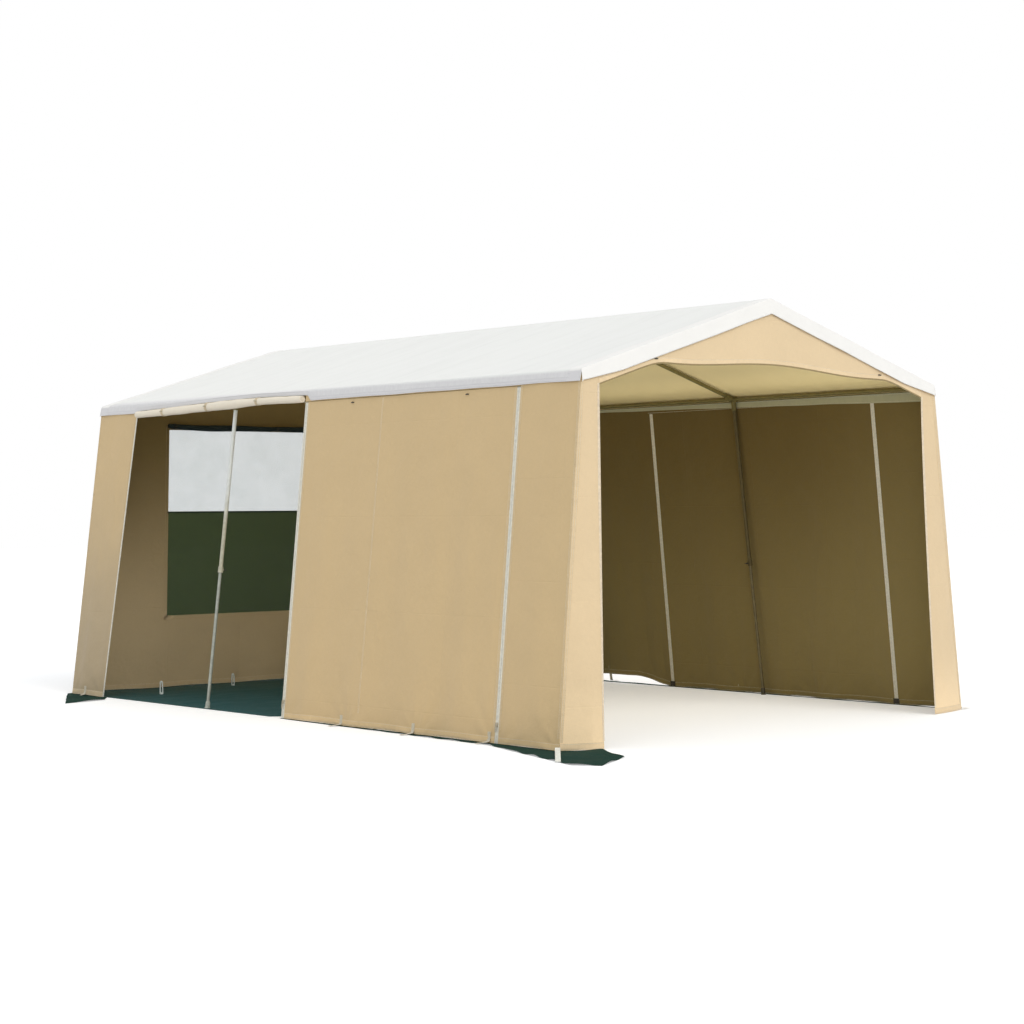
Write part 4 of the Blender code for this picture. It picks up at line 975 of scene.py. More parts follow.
def rear_cloth():
    """The rear wall up into its gable, with the window left out, and its hem's heights and places across.

    The grid's a is -1 and 1 at the window's sides and -2 and 2 at the wall's edges; its b is 1 and 2 at the
    window's foot and head, 0 at the hem and 3 under the roof. Between those it is even. The cloth stands out by
    folds that grow towards the ground, and by drapes that die out near the edges and the window."""
    a, b = np.meshgrid(stretches((-2, -1, 36), (-1, 1, 84), (1, 2, 36)), stretches((0, 1, 35), (1, 2, 70), (2, 3, 30)))
    height = np.where(b < 1, WINDOW_SILL * b, WINDOW_SILL + (WINDOW_HEAD - WINDOW_SILL) * np.clip(b - 1, 0, 1))
    height = height + (EAVE_HEIGHT - WINDOW_HEAD) * np.clip(b - 2, 0, 1)
    edge = wall_y(height) - INSET
    outside = np.sign(a) * (WINDOW_HALF + (edge - WINDOW_HALF) * (np.abs(a) - 1))
    y = np.where(np.abs(a) <= 1, a * WINDOW_HALF, outside)
    fraction = (y + edge) / (2 * edge)
    hem = HEM_CLEAR + 0.3 * HEM_LIFT * swing(5 * fraction)
    z = np.where(b < 1, hem + (WINDOW_SILL - hem) * b, height)
    z = np.where(b > 2, WINDOW_HEAD + (roof_z(y) - INSET - WINDOW_HEAD) * (b - 2), z)
    fall = np.clip(1 - z / EAVE_HEIGHT, 0, 1)
    beside = np.maximum(np.abs(y) - WINDOW_HALF, np.maximum(WINDOW_SILL - z, z - WINDOW_HEAD))
    clear = np.clip((edge - np.abs(y)) / 0.1, 0, 1) * np.clip((1.9 - z) / 0.2, 0, 1)
    clear = clear * np.clip((beside - 0.03) / 0.1, 0, 1)
    out = FOLD_DEPTH * fall * swing(6 * fraction) * np.clip(1 - b, 0, 1)
    out = out + clear * (0.0012 + 0.004 * fall) * rear_drapes(y, z)
    window = (b[:-1, :-1] >= 1) & (b[:-1, :-1] < 2) & (a[:-1, :-1] >= -1) & (a[:-1, :-1] < 1)
    cloth = shell(grid_of(rear_x(z) - out, y, z), (-1, 0, 0), CANVAS, (y + 60, z + 60), ~window)
    return cloth, hem[0], y[0]


def rear_hem(y, hem):
    """The rear wall's folded hem, on both faces."""
    rise = HEM_RISE * HEM_WIDTH
    z = hem + rise[:, None]
    fold = FOLD_DEPTH * np.clip(1 - z / EAVE_HEIGHT, 0, 1) * swing(6 * (y - y[0]) / (y[-1] - y[0]))
    fold = fold * np.clip(1 - z / WINDOW_SILL, 0, 1)
    fold = fold + np.clip((y[-1] - np.abs(y)) / 0.1, 0, 1) * 0.0050 * rear_drapes(y, z)
    points = grid_of(rear_x(z) - fold - fold_out(HEM_FACE, CANVAS), y, z)
    return inner_rows(folded(points, HEM_FACE, 0, -1, y, rise), points, 3, 4)


def window_frame(offset, slot):
    """A binding round the window: its inner edge laps the opening, its outer edge lies on the wall."""
    side, one = np.linspace(-1, 1, 25)[:-1], np.ones(24)
    ring_y = np.concatenate((side, one, -side, -one, [-1]))
    ring_z = np.concatenate((-one, side, one, -side, [-1]))
    share = np.linspace(0, 1, 4)[:, None]
    grow = -0.008 + BINDING * share
    half_z = (WINDOW_HEAD - WINDOW_SILL) / 2
    y = ring_y * (WINDOW_HALF + grow)
    z = (WINDOW_SILL + WINDOW_HEAD) / 2 + ring_z * (half_z + grow)
    uv = running(np.stack((ring_y * WINDOW_HALF, ring_z * half_z), -1)), share * BINDING
    return shell(grid_of(rear_x(z) + offset, y, z), (np.sign(offset), 0, 0), TAPE, uv, slots=(slot, slot))


def pane(low, high, seed, amount):
    """A panel of the window: flat between its bindings, with soft ripples."""
    y = np.linspace(-WINDOW_HALF + 0.0004, WINDOW_HALF - 0.0004, 61)
    z = np.linspace(low + 0.0004, high - 0.0004, 41)[:, None]
    inner = np.clip((WINDOW_HALF - np.abs(y)) / 0.1, 0, 1) * np.clip(np.minimum(z - low, high - z) / 0.1, 0, 1)
    x = rear_x(z) + 0.0003 + amount * inner * (ripple(y, z, seed, 0.18) * 0.4 + 0.5)
    return shell(grid_of(x, y, z), (-1, 0, 0), PANE, (y, z))


def rear_end():
    """Rear wall, window, and the blind rolled at its head inside."""
    cloth, hem, y = rear_cloth()
    faces = -TAPE, CANVAS + TAPE
    trims = [rear_hem(y, hem), window_frame(faces[0], 1), window_frame(faces[1], 2)]
    split, level = np.linspace(-WINDOW_HALF, WINDOW_HALF, 41), np.linspace(0, 1, 4)[:, None]
    for offset in faces:
        z = WINDOW_SPLIT - 0.007 + 0.014 * level
        grid, uv = grid_of(rear_x(z) + offset, split, z), (split, BINDING * level)
        trims.append(shell(grid, (np.sign(offset), 0, 0), TAPE, uv, slots=(3, 3)))
    finishes = canvas_hem, canvas_facing, binding_inside, strap_green, rear_hem_inside
    trim = "rear_wall_seams", trims, finishes
    flat, both, area = (3.36, 2.46), (canvas, canvas_rear_inside), 3.36 * 2.46 * 0.62
    sheet("rear_wall_cloth", [cloth], both, "rear_wall", "canvas", trims=(trim,))
    for name, finish, node, low, high, seed, amount in (
        ("window_film_sheet", film, "window_film", WINDOW_SPLIT, WINDOW_HEAD, 51, 0.0012),
        ("window_net_sheet", net, "window_mesh", WINDOW_SILL, WINDOW_SPLIT, 52, 0.0010),
    ):
        parts, flat = [pane(low, high, seed, amount)], (1.84, round(high - low, 2))
        sheet(name, parts, (finish, finish), node, node)
    share = np.linspace(0, 1, 81)
    hung = np.abs(np.sin(2 * math.pi * share))
    size = 0.0155 + 0.0075 * hung**0.6
    sag = 0.004 + 0.008 * hung**1.2 + 0.002 * ripple(share, 0 * share, 53, 0.2)
    path = grid_of(rear_x(WINDOW_HEAD) + 0.0268, 0.932 * (2 * share - 1), WINDOW_HEAD + 0.020 - sag)
    roll = spiral(path, size, (1, 0, 0), math.pi, 0.12, 18, 16, PANE, 0.035, 54)
    ties = []
    for place in (0.02, 0.5, 0.98):
        k = round(place * 80)
        ties.append(strap_round(path[k], size[k] + 0.0006, (0, 1, 0)))
        ties.append(block((0.004, 0.02, 0.016), path[k] + (size[k] + 0.002, 0, 0), (0, 0, 1), (0, 1, 0), (1, 0, 0), 1))
    trim = "blind_ties", ties, (strap_black, plastic_dark)
    both = blind_cloth, blind_cloth
    sheet("window_blind_roll", [roll], both, "window_blind", "blind", trims=(trim,))


# Roof cover

ROOF_R = SLEEVE + SEAT


def roof_sag(x, y):
    """How far the cover hangs below the straight slope: most in the middle of a bay and of a slope."""
    along = np.sin(math.pi * (x - ARCH_X["rear"]) / ARCH_PITCH) ** 2
    along = np.where(np.abs(x) < ARCH_X["front"], along, 0)
    return ROOF_SAG * along * np.sin(math.pi * np.clip(np.abs(y) / EAVE_HALF, 0, 1))


def roll_size(x):
    """Radius of the rolled door: fullest where it crosses the leg, thin towards its two ends."""
    places, sizes = (-2.03, -1.60, -1.37, -0.83, -0.62, -0.45, 0.0), (0.82, 0.95, 1.0, 1.08, 0.98, 0.86, 0.80)
    return ROLL * np.interp(x, places, sizes)


def roll_centre(x):
    """(y, z) of the rolled door's middle: outside the legs, tied up highest near its front end."""
    share = (x - ZIPS["rear"][0]) / (ZIPS["middle"][0] - ZIPS["rear"][0])
    rise = np.where(share < 0.72, share / 0.72, 1 - (share - 0.72) / 0.56)
    z = 1.960 - ROLL + 0.024 * np.sin(math.pi / 2 * np.clip(rise, 0, 1))
    z = z - np.interp(x, (-2.03, -1.60, -0.83, -0.50), (0.004, 0.009, 0.006, 0.0))
    leg_y = CORNER_Y + (FOOT_Y - CORNER_Y) * (CORNER_Z - z) / CORNER_Z
    return -(leg_y + FITTING * math.cos(math.pi / 12) + 0.0006 + np.maximum(ROLL, roll_size(x))), z


def valance_foot(x, side):
    """Height of the valance's lower edge, which is tucked up over the rolled door."""
    plain = EAVE_HEIGHT - VALANCE
    wave = 0.0022 * ripple(x, 0 * x, 61 + SIDES[side], 0.35)
    if side == "far":
        return plain + wave
    inside = ease(np.clip((x + 2.05) / 0.045, 0, 1) * np.clip((0.05 - x) / 0.045, 0, 1))
    tucked = roll_centre(x)[1] + roll_size(x) + 0.0030
    return plain + (np.maximum(tucked, plain) - plain) * inside + wave * (1 - inside)


def valance_at(side, x, level, out=0.0):
    """Points of a valance, from the eave at level 0 to its lower edge at 1. It hangs beside the wall, flares out a
    little and waves."""
    x, level = np.broadcast_arrays(x, level)
    top = CORNER_Z + (ROOF_R + SEAT) * TILT[1]
    z = top + (valance_foot(x, side) - top) * level
    y = CORNER_Y + (ROOF_R + SEAT) * TILT[0] + (top - z) * (WALL_SPLAY / EAVE_HEIGHT + 0.004 / VALANCE)
    y = y + 0.0042 * ridges(x, level * 0.01, 63 + SIDES[side], 0.16) * np.clip(level, 0, 1) + out
    return np.stack((x, SIDES[side] * y, z), -1)


def roof_points(x, lift=0.0):
    """The cover over both slopes, from the near valance's edge to the far one's; one row for each x.

    Across, it turns round each eave fitting, runs straight to the crest and turns round the ridge fitting. Its
    height is that line's less the sag, plus soft waves that die out at the eaves and the ridge."""
    slope = unit((RIDGE_HEIGHT - EAVE_HEIGHT, EAVE_HALF))
    wall_angle, slope_angle = math.atan2(TILT[1], TILT[0]), math.atan2(slope[1], slope[0])
    turn = np.linspace(0, 1, 8)[1:]
    angle = wall_angle + (slope_angle - wall_angle) * turn
    size = ROOF_R + SEAT * (1 - turn) + lift
    y, z = CORNER_Y + size * np.cos(angle), CORNER_Z + size * np.sin(angle)
    share = np.linspace(0, 1, 73)[1:]
    crest = ROOF_R + lift
    over = np.linspace(slope_angle, math.pi / 2, 5)[1:]
    ys = np.concatenate((y, y[-1] + (crest * slope[0] - y[-1]) * share, crest * np.cos(over)))
    zs = np.concatenate((z, z[-1] + (CREST_Z + crest * slope[1] - z[-1]) * share, CREST_Z + crest * np.sin(over)))
    y, x = np.meshgrid(np.concatenate((-ys, ys[::-1][1:])), x)
    z = np.concatenate((zs, zs[::-1][1:]))[None]
    free = np.sin(math.pi * np.clip(np.abs(y) / EAVE_HALF, 0, 1)) ** 0.7
    bay = np.abs(np.sin(math.pi * (x - ARCH_X["rear"]) / ARCH_PITCH))
    soft = 0.0016 * free * ripple(x, y, 71, 0.35) + 0.0012 * free * bay * ripple(x + 0.4 * y, y * 0.2, 72, 0.22)
    near = valance_at("near", x[:, :1], np.linspace(1, 0, 11)[None], lift)
    far = valance_at("far", x[:, :1], np.linspace(0, 1, 11)[None], lift)
    return np.concatenate((near, np.stack((x, y, z - roof_sag(x, y) + soft), -1), far), axis=1)


def valance_hem(side, x):
    """The folded lower edge of a valance."""
    rise = np.array((0.024, 0.012, 0.002, -0.0008, -0.0012, -0.0008, 0.002, 0.012, 0.024))
    level = 1 - rise[:, None] / (CORNER_Z + 0.0025 - valance_foot(x, side))
    points = valance_at(side, x[None], level, fold_out(HEM_FACE, COATED))
    return folded(points, HEM_FACE, 1, SIDES[side], x[None], rise)


def gable_band(end):
    """The wide folded hem at an end of the cover: along the slope, over the edge by a quarter turn of 4 mm, and
    down the gable, less far beside the valances. It flares and waves as it falls."""
    slope_part = roof_points(end * (ROOF_END - np.linspace(0.105, 0.004, 12)), 0.0011)
    last = slope_part[-1]
    y = np.abs(last[:, 1])
    turns = np.linspace(0, math.pi / 2, 5)[1:]
    over = [last + np.array((end * (0.004 * math.sin(t) + 0.0006 * t), 0, -0.004 * (1 - math.cos(t)))) for t in turns]
    edge_x, edge_z = over[-1][:, 0], over[-1][:, 2]
    drop = GABLE_BAND - (GABLE_BAND - VALANCE) * np.clip((y - 1.17) / (EAVE_HALF - 1.17), 0, 1)
    down = np.linspace(0.06, 1, 12)[:, None]
    flare = 0.004 * down + 0.0030 * down * ridges(last[:, 1], 0 * down, 81, 0.2, 7)
    fall = grid_of(edge_x + end * flare, last[:, 1], edge_z - (drop - 0.004) * down)
    grid = np.concatenate((slope_part, over, fall))
    keep = np.ones((grid.shape[0] - 1, grid.shape[1] - 1), bool)
    keep[len(slope_part) + 3 :, :11] = keep[len(slope_part) + 3 :, -11:] = False
    towards = np.zeros(grid.shape)
    towards[: len(slope_part), :, 2] = 1
    towards[len(slope_part) :, :, 0] = end
    return shell(grid, towards, COATED, (running(last), running(grid[:, grid.shape[1] // 3])[:, None]), keep)


def roof():
    """The white cover, its valance hems and its two gable bands."""
    grid = roof_points(np.linspace(-ROOF_END, ROOF_END, 257))
    cover = shell(grid, (0, 0, 1), COATED, (grid[..., 0] + 90, running(grid[len(grid) // 2])))
    fine = np.linspace(-ROOF_END + 0.002, ROOF_END - 0.002, 361)
    hems = "valance_hems", [valance_hem(side, fine) for side in SIDES], (roof_stitched,)
    bands = "roof_end_bands", [gable_band(end) for end in (-1, 1)], (roof_band, roof_inside)
    both, flat, pole = (roof_white, roof_inside), (5.20, 3.30), "ridge_pole_tube"
    sheet("roof_cover_cloth", [cover], both, "roof_cover", "roof_cloth", trims=(hems, bands))


# Front end


def gable_hem(y):
    """Height of the front gable cloth's wavy hem: the lower of a slow wave and a narrow strip down each rafter,
    with the corner between them rounded off."""
    wave = GABLE_HEM + 0.018 * np.cos(2 * math.pi * (y - 0.03) / 1.55) - 0.0187 * y
    along = roof_z(y) - GABLE_BAND - GABLE_STRIP
    return -GABLE_CORNER * np.logaddexp(-wave / GABLE_CORNER, -along / GABLE_CORNER)


def gable_out(y, z):
    """How far the front gable cloth bellies forward above its hem."""
    free = np.clip((roof_z(y) - 0.11 - z) / 0.12, 0, 1)
    inner = np.clip((OPENING_HALF - np.abs(y)) / 0.15, 0, 1)
    return inner * free * (0.0010 + 0.006 * np.exp(-(z - gable_hem(y)) / 0.12) * ridges(y, z * 0.25, 91, 0.17))


def strip_point(side, share, z, out=0.0):
    """Points of a front corner strip. Its inner edge runs from the opening to a peg in front of it: reach, 0 at
    the head and 1 at the ground, carries it there. Between its edges it bellies forward."""
    share, z = np.broadcast_arrays(share, z)
    foot_y = {"near": 1.43, "far": 1.30}[side]
    reach = np.clip(1 - z / 1.88, 0, None) ** 1.3
    inner_y = STRIP_INNER + (foot_y - STRIP_INNER) * reach
    inner_x = HALF_LENGTH + (2.62 - HALF_LENGTH) * reach
    outer_y = wall_y(np.minimum(z, LEAN_TOP)) - INSET
    belly = 0.010 + 0.006 * ridges(share * 0.3, z * 0.2, 95 + SIDES[side], 0.09)
    x = inner_x + (front_x(z) - inner_x) * share + belly * reach * np.sin(math.pi * share)
    y = inner_y + (outer_y - inner_y) * share
    height = np.where(z > LEAN_TOP, z, z + HEM_CLEAR * (1 - z / LEAN_TOP))
    angle = np.arctan2(front_x(z) - inner_x, outer_y - inner_y)
    return np.stack((x + out * np.cos(angle), SIDES[side] * (y - out * np.sin(angle)), height), -1)


def front_strip(side):
    """A front corner strip with its hem, the tape down its inner edge, and the seam at the corner."""
    share = np.linspace(0, 1, 25)
    low = strip_point(side, share, np.linspace(0, LEAN_TOP, 121)[:, None])
    top_y = STRIP_INNER + (EAVE_HALF - INSET - STRIP_INNER) * share
    top = grid_of(HALF_LENGTH, SIDES[side] * top_y, roof_z(top_y) - INSET)
    points = np.concatenate((low, low[-1] + (top - low[-1]) * np.linspace(0, 1, 7)[1:, None, None]))
    strip = shell(points, (1, 0, 0), CANVAS, (points[..., 1] + 40, points[..., 2] + 40))
    rise = np.array((1, 0.5, 0.06, -0.02, 0.06, 0.5, 1)) * HEM_WIDTH
    face = np.array((-1, -1, -1, 0, 1, 1, 1))
    hem = strip_point(side, share, rise[:, None], fold_out(face, CANVAS))
    across = np.linspace(0, 1, 4)
    height = np.linspace(0.04, LEAN_TOP, 81)[:, None]
    width = np.maximum(0.12, 0.33 - 0.15 * height)
    tape = strip_point(side, -0.003 / width + across * 0.014 / width, height, 0.0010)
    seam = strip_point(side, 1 + (0.0040 - 0.022 * across) / width, height, TAPE)
    parts = [
        folded(hem, face, 0, 1, share * 0.3, rise),
        shell(tape, (1, 0, 0), 0.0009, (across * 0.014, height), slots=(2, 2)),
        shell(seam, (1, 0, 0), TAPE, (height, across * FACING), slots=(1, 1)),
    ]
    name, both, flat = f"front_strip_{side}", (canvas_strip, canvas_inside), (0.26, 2.03)
    trim = f"{name}_seams", parts, (pale_hem, pale_facing, strip_tape)
    sheet(f"{name}_cloth", [strip], both, name, "pale_canvas", trims=(trim,))


def front_end():
    """Front gable cloth and the two corner strips."""
    y = np.linspace(-OPENING_HALF, OPENING_HALF, 161)
    hem = gable_hem(y)
    z = hem + (roof_z(y) - INSET - hem) * np.linspace(0, 1, 41)[:, None]
    cloth = shell(grid_of(HALF_LENGTH + gable_out(y, z), y, z), (1, 0, 0), CANVAS, (y + 50, z + 50))
    rise = np.array((1, 0.5, 0.22, -0.03, -0.035, -0.03, 0.22, 0.5, 1)) * HEM_WIDTH
    fine = np.linspace(-OPENING_HALF + 0.001, OPENING_HALF - 0.001, 201)
    z = gable_hem(fine) + rise[:, None]
    band = grid_of(HALF_LENGTH + gable_out(fine, z) + fold_out(HEM_FACE, CANVAS), fine, z)
    trims = [inner_rows(inner_rows(folded(band, HEM_FACE, 0, 1, fine, rise), band, 6, 2), band, 2, 0)]
    for place in (-0.916, 0.946):
        z = float(gable_hem(np.array(place))) + 0.030
        out = float(gable_out(np.array(place), np.array(z))) + 0.0045
        trims += toggle((HALF_LENGTH + out, place, z), (0, 1, 0), (1, 0, 0), 1)
    trim = "front_gable_hem", trims, (pale_hem, plastic_dark, gable_edging)
    both, flat, area, cover = (canvas_pale, canvas_inside), (2.68, 0.52), 2.68 * 0.52 * 0.52, "roof_cover_cloth"
    sheet("front_gable_cloth", [cloth], both, "front_gable", "pale_canvas", trims=(trim,))
    for side in SIDES:
        front_strip(side)


# Rolled rear side door


def rolled_door():
    """The rear side door, rolled outwards and tied up under the near eave."""
    low, high = ROLL_ENDS
    x = low + (high - low) * np.linspace(0, 1, 61)

    def tied(x):
        """The roll's radius, a little smaller at its ties."""
        return roll_size(x) * (0.97 + 0.03 * np.cos(6 * math.pi * (x - ARCH_X["mid_rear"]) / (high - low)))

    path = np.stack((x, *roll_centre(x)), -1)
    roll = spiral(path, tied(x), (0, 1, 0), math.pi / 2, 0.14, 19, 20, TAPE, 0.022, 101)
    ties = []
    for place in (-1.62, -1.08, -0.50):
        near = float(tied(place))
        centre = np.array((place, *map(float, roll_centre(np.array(place)))))
        ties.append(strap_round(centre, near + 0.0006, (1, 0, 0), 0.022))
        ties += toggle(centre + (0, -near - 0.0050, 0.004), (1, 0, 0), (0, -1, 0), 1)
    trim = "door_ties", ties, (strap_sand, toggle_grey)
    both, node, flat, pole = (canvas_rolled, canvas_rolled), "near_rolled_door", (1.95, 1.93), "eave_pole_near_tube"
    sheet("near_rolled_door_cloth", [roll], both, node, "canvas", trims=(trim,))


# Ground


def ground_relief(x, y, seed, amount, size=0.16):
    """Height of a laid sheet's outer face: crossing soft creases."""
    return amount * np.clip(0.45 + 0.5 * ripple(x, y, seed, size), 0, 1.4)


def laid(inner, outer, columns, rows, seed, foot_y=None):
    """A flap laid between two outlines that run the same way. Its free edge waves, and it lifts in soft creases
    that die out towards the inner outline, or, if the walls' foot is given, towards the walls between their ends."""
    share = np.linspace(0, 1, columns + 1)
    knots = np.linspace(0, 1, len(inner))
    lines = (zip(*line) for line in (inner, outer))
    a, b = (np.stack([np.interp(share, knots, way) for way in line], -1) for line in lines)
    level = np.linspace(0, 1, rows + 1)[:, None]
    x, y = np.moveaxis(a + (b - a) * level[..., None], -1, 0)
    y = y + np.sign(b[:, 1] - a[:, 1] + 1e-9) * 0.003 * ripple(share * 4, 0 * share, seed, 0.3) * level
    if foot_y is None:
        free = np.clip(level * 1.15 - 0.1, 0, 1)
    else:
        free = np.maximum(np.clip((np.abs(y) - foot_y) / 0.05, 0, 1), np.clip((np.abs(x) - 2.53) / 0.12, 0, 1))
    z = 0.0013 + free * ground_relief(x, y, seed + 1, FLAP_CREASE)
    return shell(np.stack((x, y, z), -1), (0, 0, 1), COATED, (x + seed, y + seed))


def plan_area(corners):
    """Area inside an outline on the ground: half the sum of its edges' cross products."""
    x, y = np.array(corners).T
    return abs(np.sum(x * np.roll(y, -1) - np.roll(x, -1) * y)) / 2


def groundsheet():
    """The groundsheet, cut off at its corners and a little askew, with a hem along each side."""
    back = float(rear_x(0)) + 0.0146667
    across = np.linspace(-1, 1, 221)
    y = SHEET_HALF * across + np.zeros((181, 1))
    clipped = np.clip(np.abs(y) - (SHEET_HALF - SHEET_CUT), 0, None)
    front_edge = SHEET_FRONT - SHEET_SKEW * (1 + across) - clipped
    x = back + clipped + (front_edge - back - clipped) * np.linspace(0, 1, 181)[:, None]
    clear = np.clip((1.50 - np.abs(y)) / 0.15, 0, 1) * np.clip((x - back) / 0.12, 0, 1)
    z = 0.0014 + clear * ground_relief(x, y, 111, 0.0055, 0.2)
    cloth = shell(np.stack((x, y, z), -1), (0, 0, 1), 0.0010, (x + 7, y + 7))
    level = np.linspace(0, 1, 3)[:, None]
    hems = []
    for way in (-1, 1):
        edge_x = np.linspace(back + SHEET_CUT, SHEET_FRONT - SHEET_CUT - SHEET_SKEW * (1 + way), 81)
        grid = grid_of(edge_x, way * (SHEET_HALF - 0.022 * level), 0.0022)
        hems.append(shell(grid, (0, 0, 1), TAPE, (edge_x, 0.024 * level), slots=(0, 0)))
    trim = "groundsheet_hem", hems, (teal_hem,)
    both, flat, area = (sheet_teal, sheet_teal), (2.46, 3.31), 2.18 * 3.31
    node, under = "groundsheet", "mud_flap_rear_cloth"
    sheet("groundsheet_cloth", [cloth], both, node, node, trims=(trim,))


def mud_flaps():
    """The mud flaps that spread from the foot of the walls, each between an inner and an outer outline."""
    rear, front, foot = float(rear_x(0)), float(front_x(0)), float(wall_y(0))
    inner = FLAP_INNER
    rear_inner = [(rear - 0.01, inner), (rear + 0.20, inner)]
    rear_tip = [(rear - 0.01, foot + 0.03), (rear + 0.68, foot + 0.43), (rear + 0.62, foot + 0.10)]
    flaps = {
        "near_rear": (-1, [*rear_inner, (ZIPS["rear"][1] + 0.03, inner)], rear_tip, 36, 24, (0.50, 0.64)),
        "near_front": (
            -1,
            [(-0.02, inner), (front - 0.48, inner), (front - 0.02, inner)]
            + [(front + 0.13, foot - 0.19), (front + 0.44, foot - 0.055)],
            [(-0.02, foot + 0.01), (front - 0.48, foot + 0.077), (front + 0.10, foot + 0.25)]
            + [(front + 0.50, foot + 0.37), (front + 0.63, foot + 0.28)],
            260,
            16,
            (2.97, 0.45),
        ),
        "far": (
            1,
            rear_inner + [(x, inner) for x in (ZIPS["rear"][1], -1.0, 0.0, 1.2, front - 0.02)],
            [*rear_tip, (-1.0, foot + 0.06)] + [(x, foot + 0.03) for x in (0.0, 1.2, front - 0.02)],
            420,
            16,
            (5.11, 0.25),
        ),
    }
    both = flap_green, flap_green
    for number, (name, (way, inside, outside, columns, rows, flat)) in enumerate(flaps.items()):
        lines = [(x, way * y) for x, y in inside], [(x, way * y) for x, y in outside]
        parts = [laid(*lines, columns, rows, 121 + 5 * number, foot + 0.025)]
        area = max(plan_area(inside + outside[::-1]), 0.305 * flat[0] * flat[1])
        node = f"mud_flap_{name}"
        sheet(f"{node}_cloth", parts, both, node, "mud_flap")
    half, reach = inner - 0.003, front + FLAP_REACH
    start, tip = rear + 0.009, half - 0.2
    ends = [(start, -half), (start, 0), (start, half)], [(-reach, 0.115 - tip), (-reach, 0), (-reach, tip)]
    flat, area = (3.31, 0.52), 3.11 * 0.51
    parts = [laid(*ends, 220, 36, 151)]
    sheet("mud_flap_rear_cloth", parts, both, "mud_flap_rear", "mud_flap")


# Frame. A turned part's profile is pairs of distance and radius. COLLAR and BOOT count the distance back from the
# tube's lower end; JOINT has places along a pole with the depth pressed in

COLLAR = (
    *((0.040, 0.0119), (0.040, 0.0152), (0.0385, 0.0166), (0.034, 0.0170), (0.032, 0.0158), (0.010, 0.0158)),
    *((0.008, 0.0170), (0.0015, 0.0166), (0, 0.0150), (0, TUBE_BORE), (0.001, 0.0108), (0.040, 0.0119)),
)
BOOT = (
    *((0.046, 0), (0.046, 0.0112), (0.045, 0.0128), (0.040, 0.0132), (0.036, 0.0148)),
    *((0.012, 0.0150), (0.008, 0.0150), (0.0035, 0.0150), (0.0035, 0)),
)
BASE = (0.0, 0), (0.0, 0.0178), (0.0008, 0.0188), (0.0050, 0.0188), (0.0064, 0.0176), (0.0070, 0.0140), (0.0070, 0)
BOSS = (0.0135, 0), (0.0135, 0.0075), (0.0200, 0.0070), (0.0208, 0.0060), (0.0208, 0)
KNOB = (0.029, 0), (0.029, 0.0052), (0.034, 0.0048), (0.035, 0.0036), (0.035, 0)
RIVET = (0, 0), (0, 0.0034), (0.0012, 0.0028), (0.0019, 0.0014), (0.0021, 0)
CAP = (0.0, 0), (0.0, 0.0118), (0.0006, 0.0120), (0.0006, 0.0109), (0.014, 0.0107), (0.014, 0)
JOINT = (
    *((-0.005, 0), (-0.002, 0.0006), (0, 0.0008), (0.002, 0.0006), (0.005, 0)),
    *((0.0298, 0), (0.0300, 0.0005), (0.0304, 0.0005), (0.0306, 0)),
)


def from_end(length, profile):
    """A profile told from a tube's lower end, as distances from its upper one."""
    return [(length - back, radius) for back, radius in profile]


def hollow(length, outer, inner, eased=0.0006, start=0.0):
    """The closed profile of a tube with eased ends."""
    stop = start + length
    return (
        (start, inner + eased),
        (start, outer - eased),
        (start + eased, outer),
        (stop - eased, outer),
        (stop, outer - eased),
        (stop, inner + eased),
        (stop - eased, inner),
        (start + eased, inner),
        (start, inner + eased),
    )


def weld_bead(corner, way):
    """The bead where a socket meets a sleeve along X: the curve in which the two rounds cross."""
    angle = np.linspace(0, 2 * math.pi, 33)
    reach = np.sqrt(SLEEVE**2 - (FITTING * np.sin(angle)) ** 2)
    ring = np.cos(angle)[:, None] * (1.0, 0, 0) + np.sin(angle)[:, None] * np.cross((1.0, 0, 0), way)
    return pipe(corner + reach[:, None] * way + FITTING * ring, 0.0019 + 0.0004 * np.cos(9 * angle), 8, closed=True)


def fitting(corner, ways, bore):
    """A sleeve for the pole along X and a socket each way, with the weld between them and a rim at its mouth."""
    parts = [turned(hollow(0.060, SLEEVE, SLEEVE_BORE, start=-0.030), corner, (1, 0, 0), 28)]
    for way in ways:
        parts.append(turned(hollow(0.0605, FITTING, bore, start=0.0145), corner, way))
        parts.append(weld_bead(corner, way))
        parts.append(turned(hollow(0.004, FITTING + 0.0010, FITTING - 0.001, 0.0009, 0.0715), corner, way))
    return parts


def arch_corner(side, arch):
    """Where a rafter, a leg and the eave pole meet."""
    return np.array((ARCH_X[arch], SIDES[side] * CORNER_Y, CORNER_Z))


def leg_ends(side, arch):
    """The corner, the clamp's lower end and the foot of a leg, and the way down. A rear foot stands on the
    groundsheet."""
    corner = arch_corner(side, arch)
    x = ARCH_X[arch] + FOOT_SHIFT[arch]
    foot = np.array((x, SIDES[side] * FOOT_Y, SEAT if x < SHEET_FRONT else 0.0))
    clamp = corner + (foot - corner) * (corner[2] - CLAMP_Z) / (corner[2] - foot[2])
    return corner, clamp, foot, unit(foot - corner)


def rafter(side, arch):
    """A roof tube with its welded eave elbow and the rivet that holds it."""
    corner, _, _, down = leg_ends(side, arch)
    slope = np.array((ARCH_X[arch], 0, CREST_Z)) - corner
    up = unit(slope)
    parts = fitting(corner, (down, up), 0.0129)
    parts.append(turned(hollow(np.linalg.norm(slope) - 0.060, TUBE, TUBE_BORE, start=0.038), corner, up))
    parts.append(turned(RIVET, corner + up * 0.055 + (FITTING - 0.0006, 0, 0), (1, 0, 0), 16))
    name = f"rafter_{side}_{arch}"
    piece(f"{name}_tube", parts, (steel,), "tent", (name,), "frame_steel")


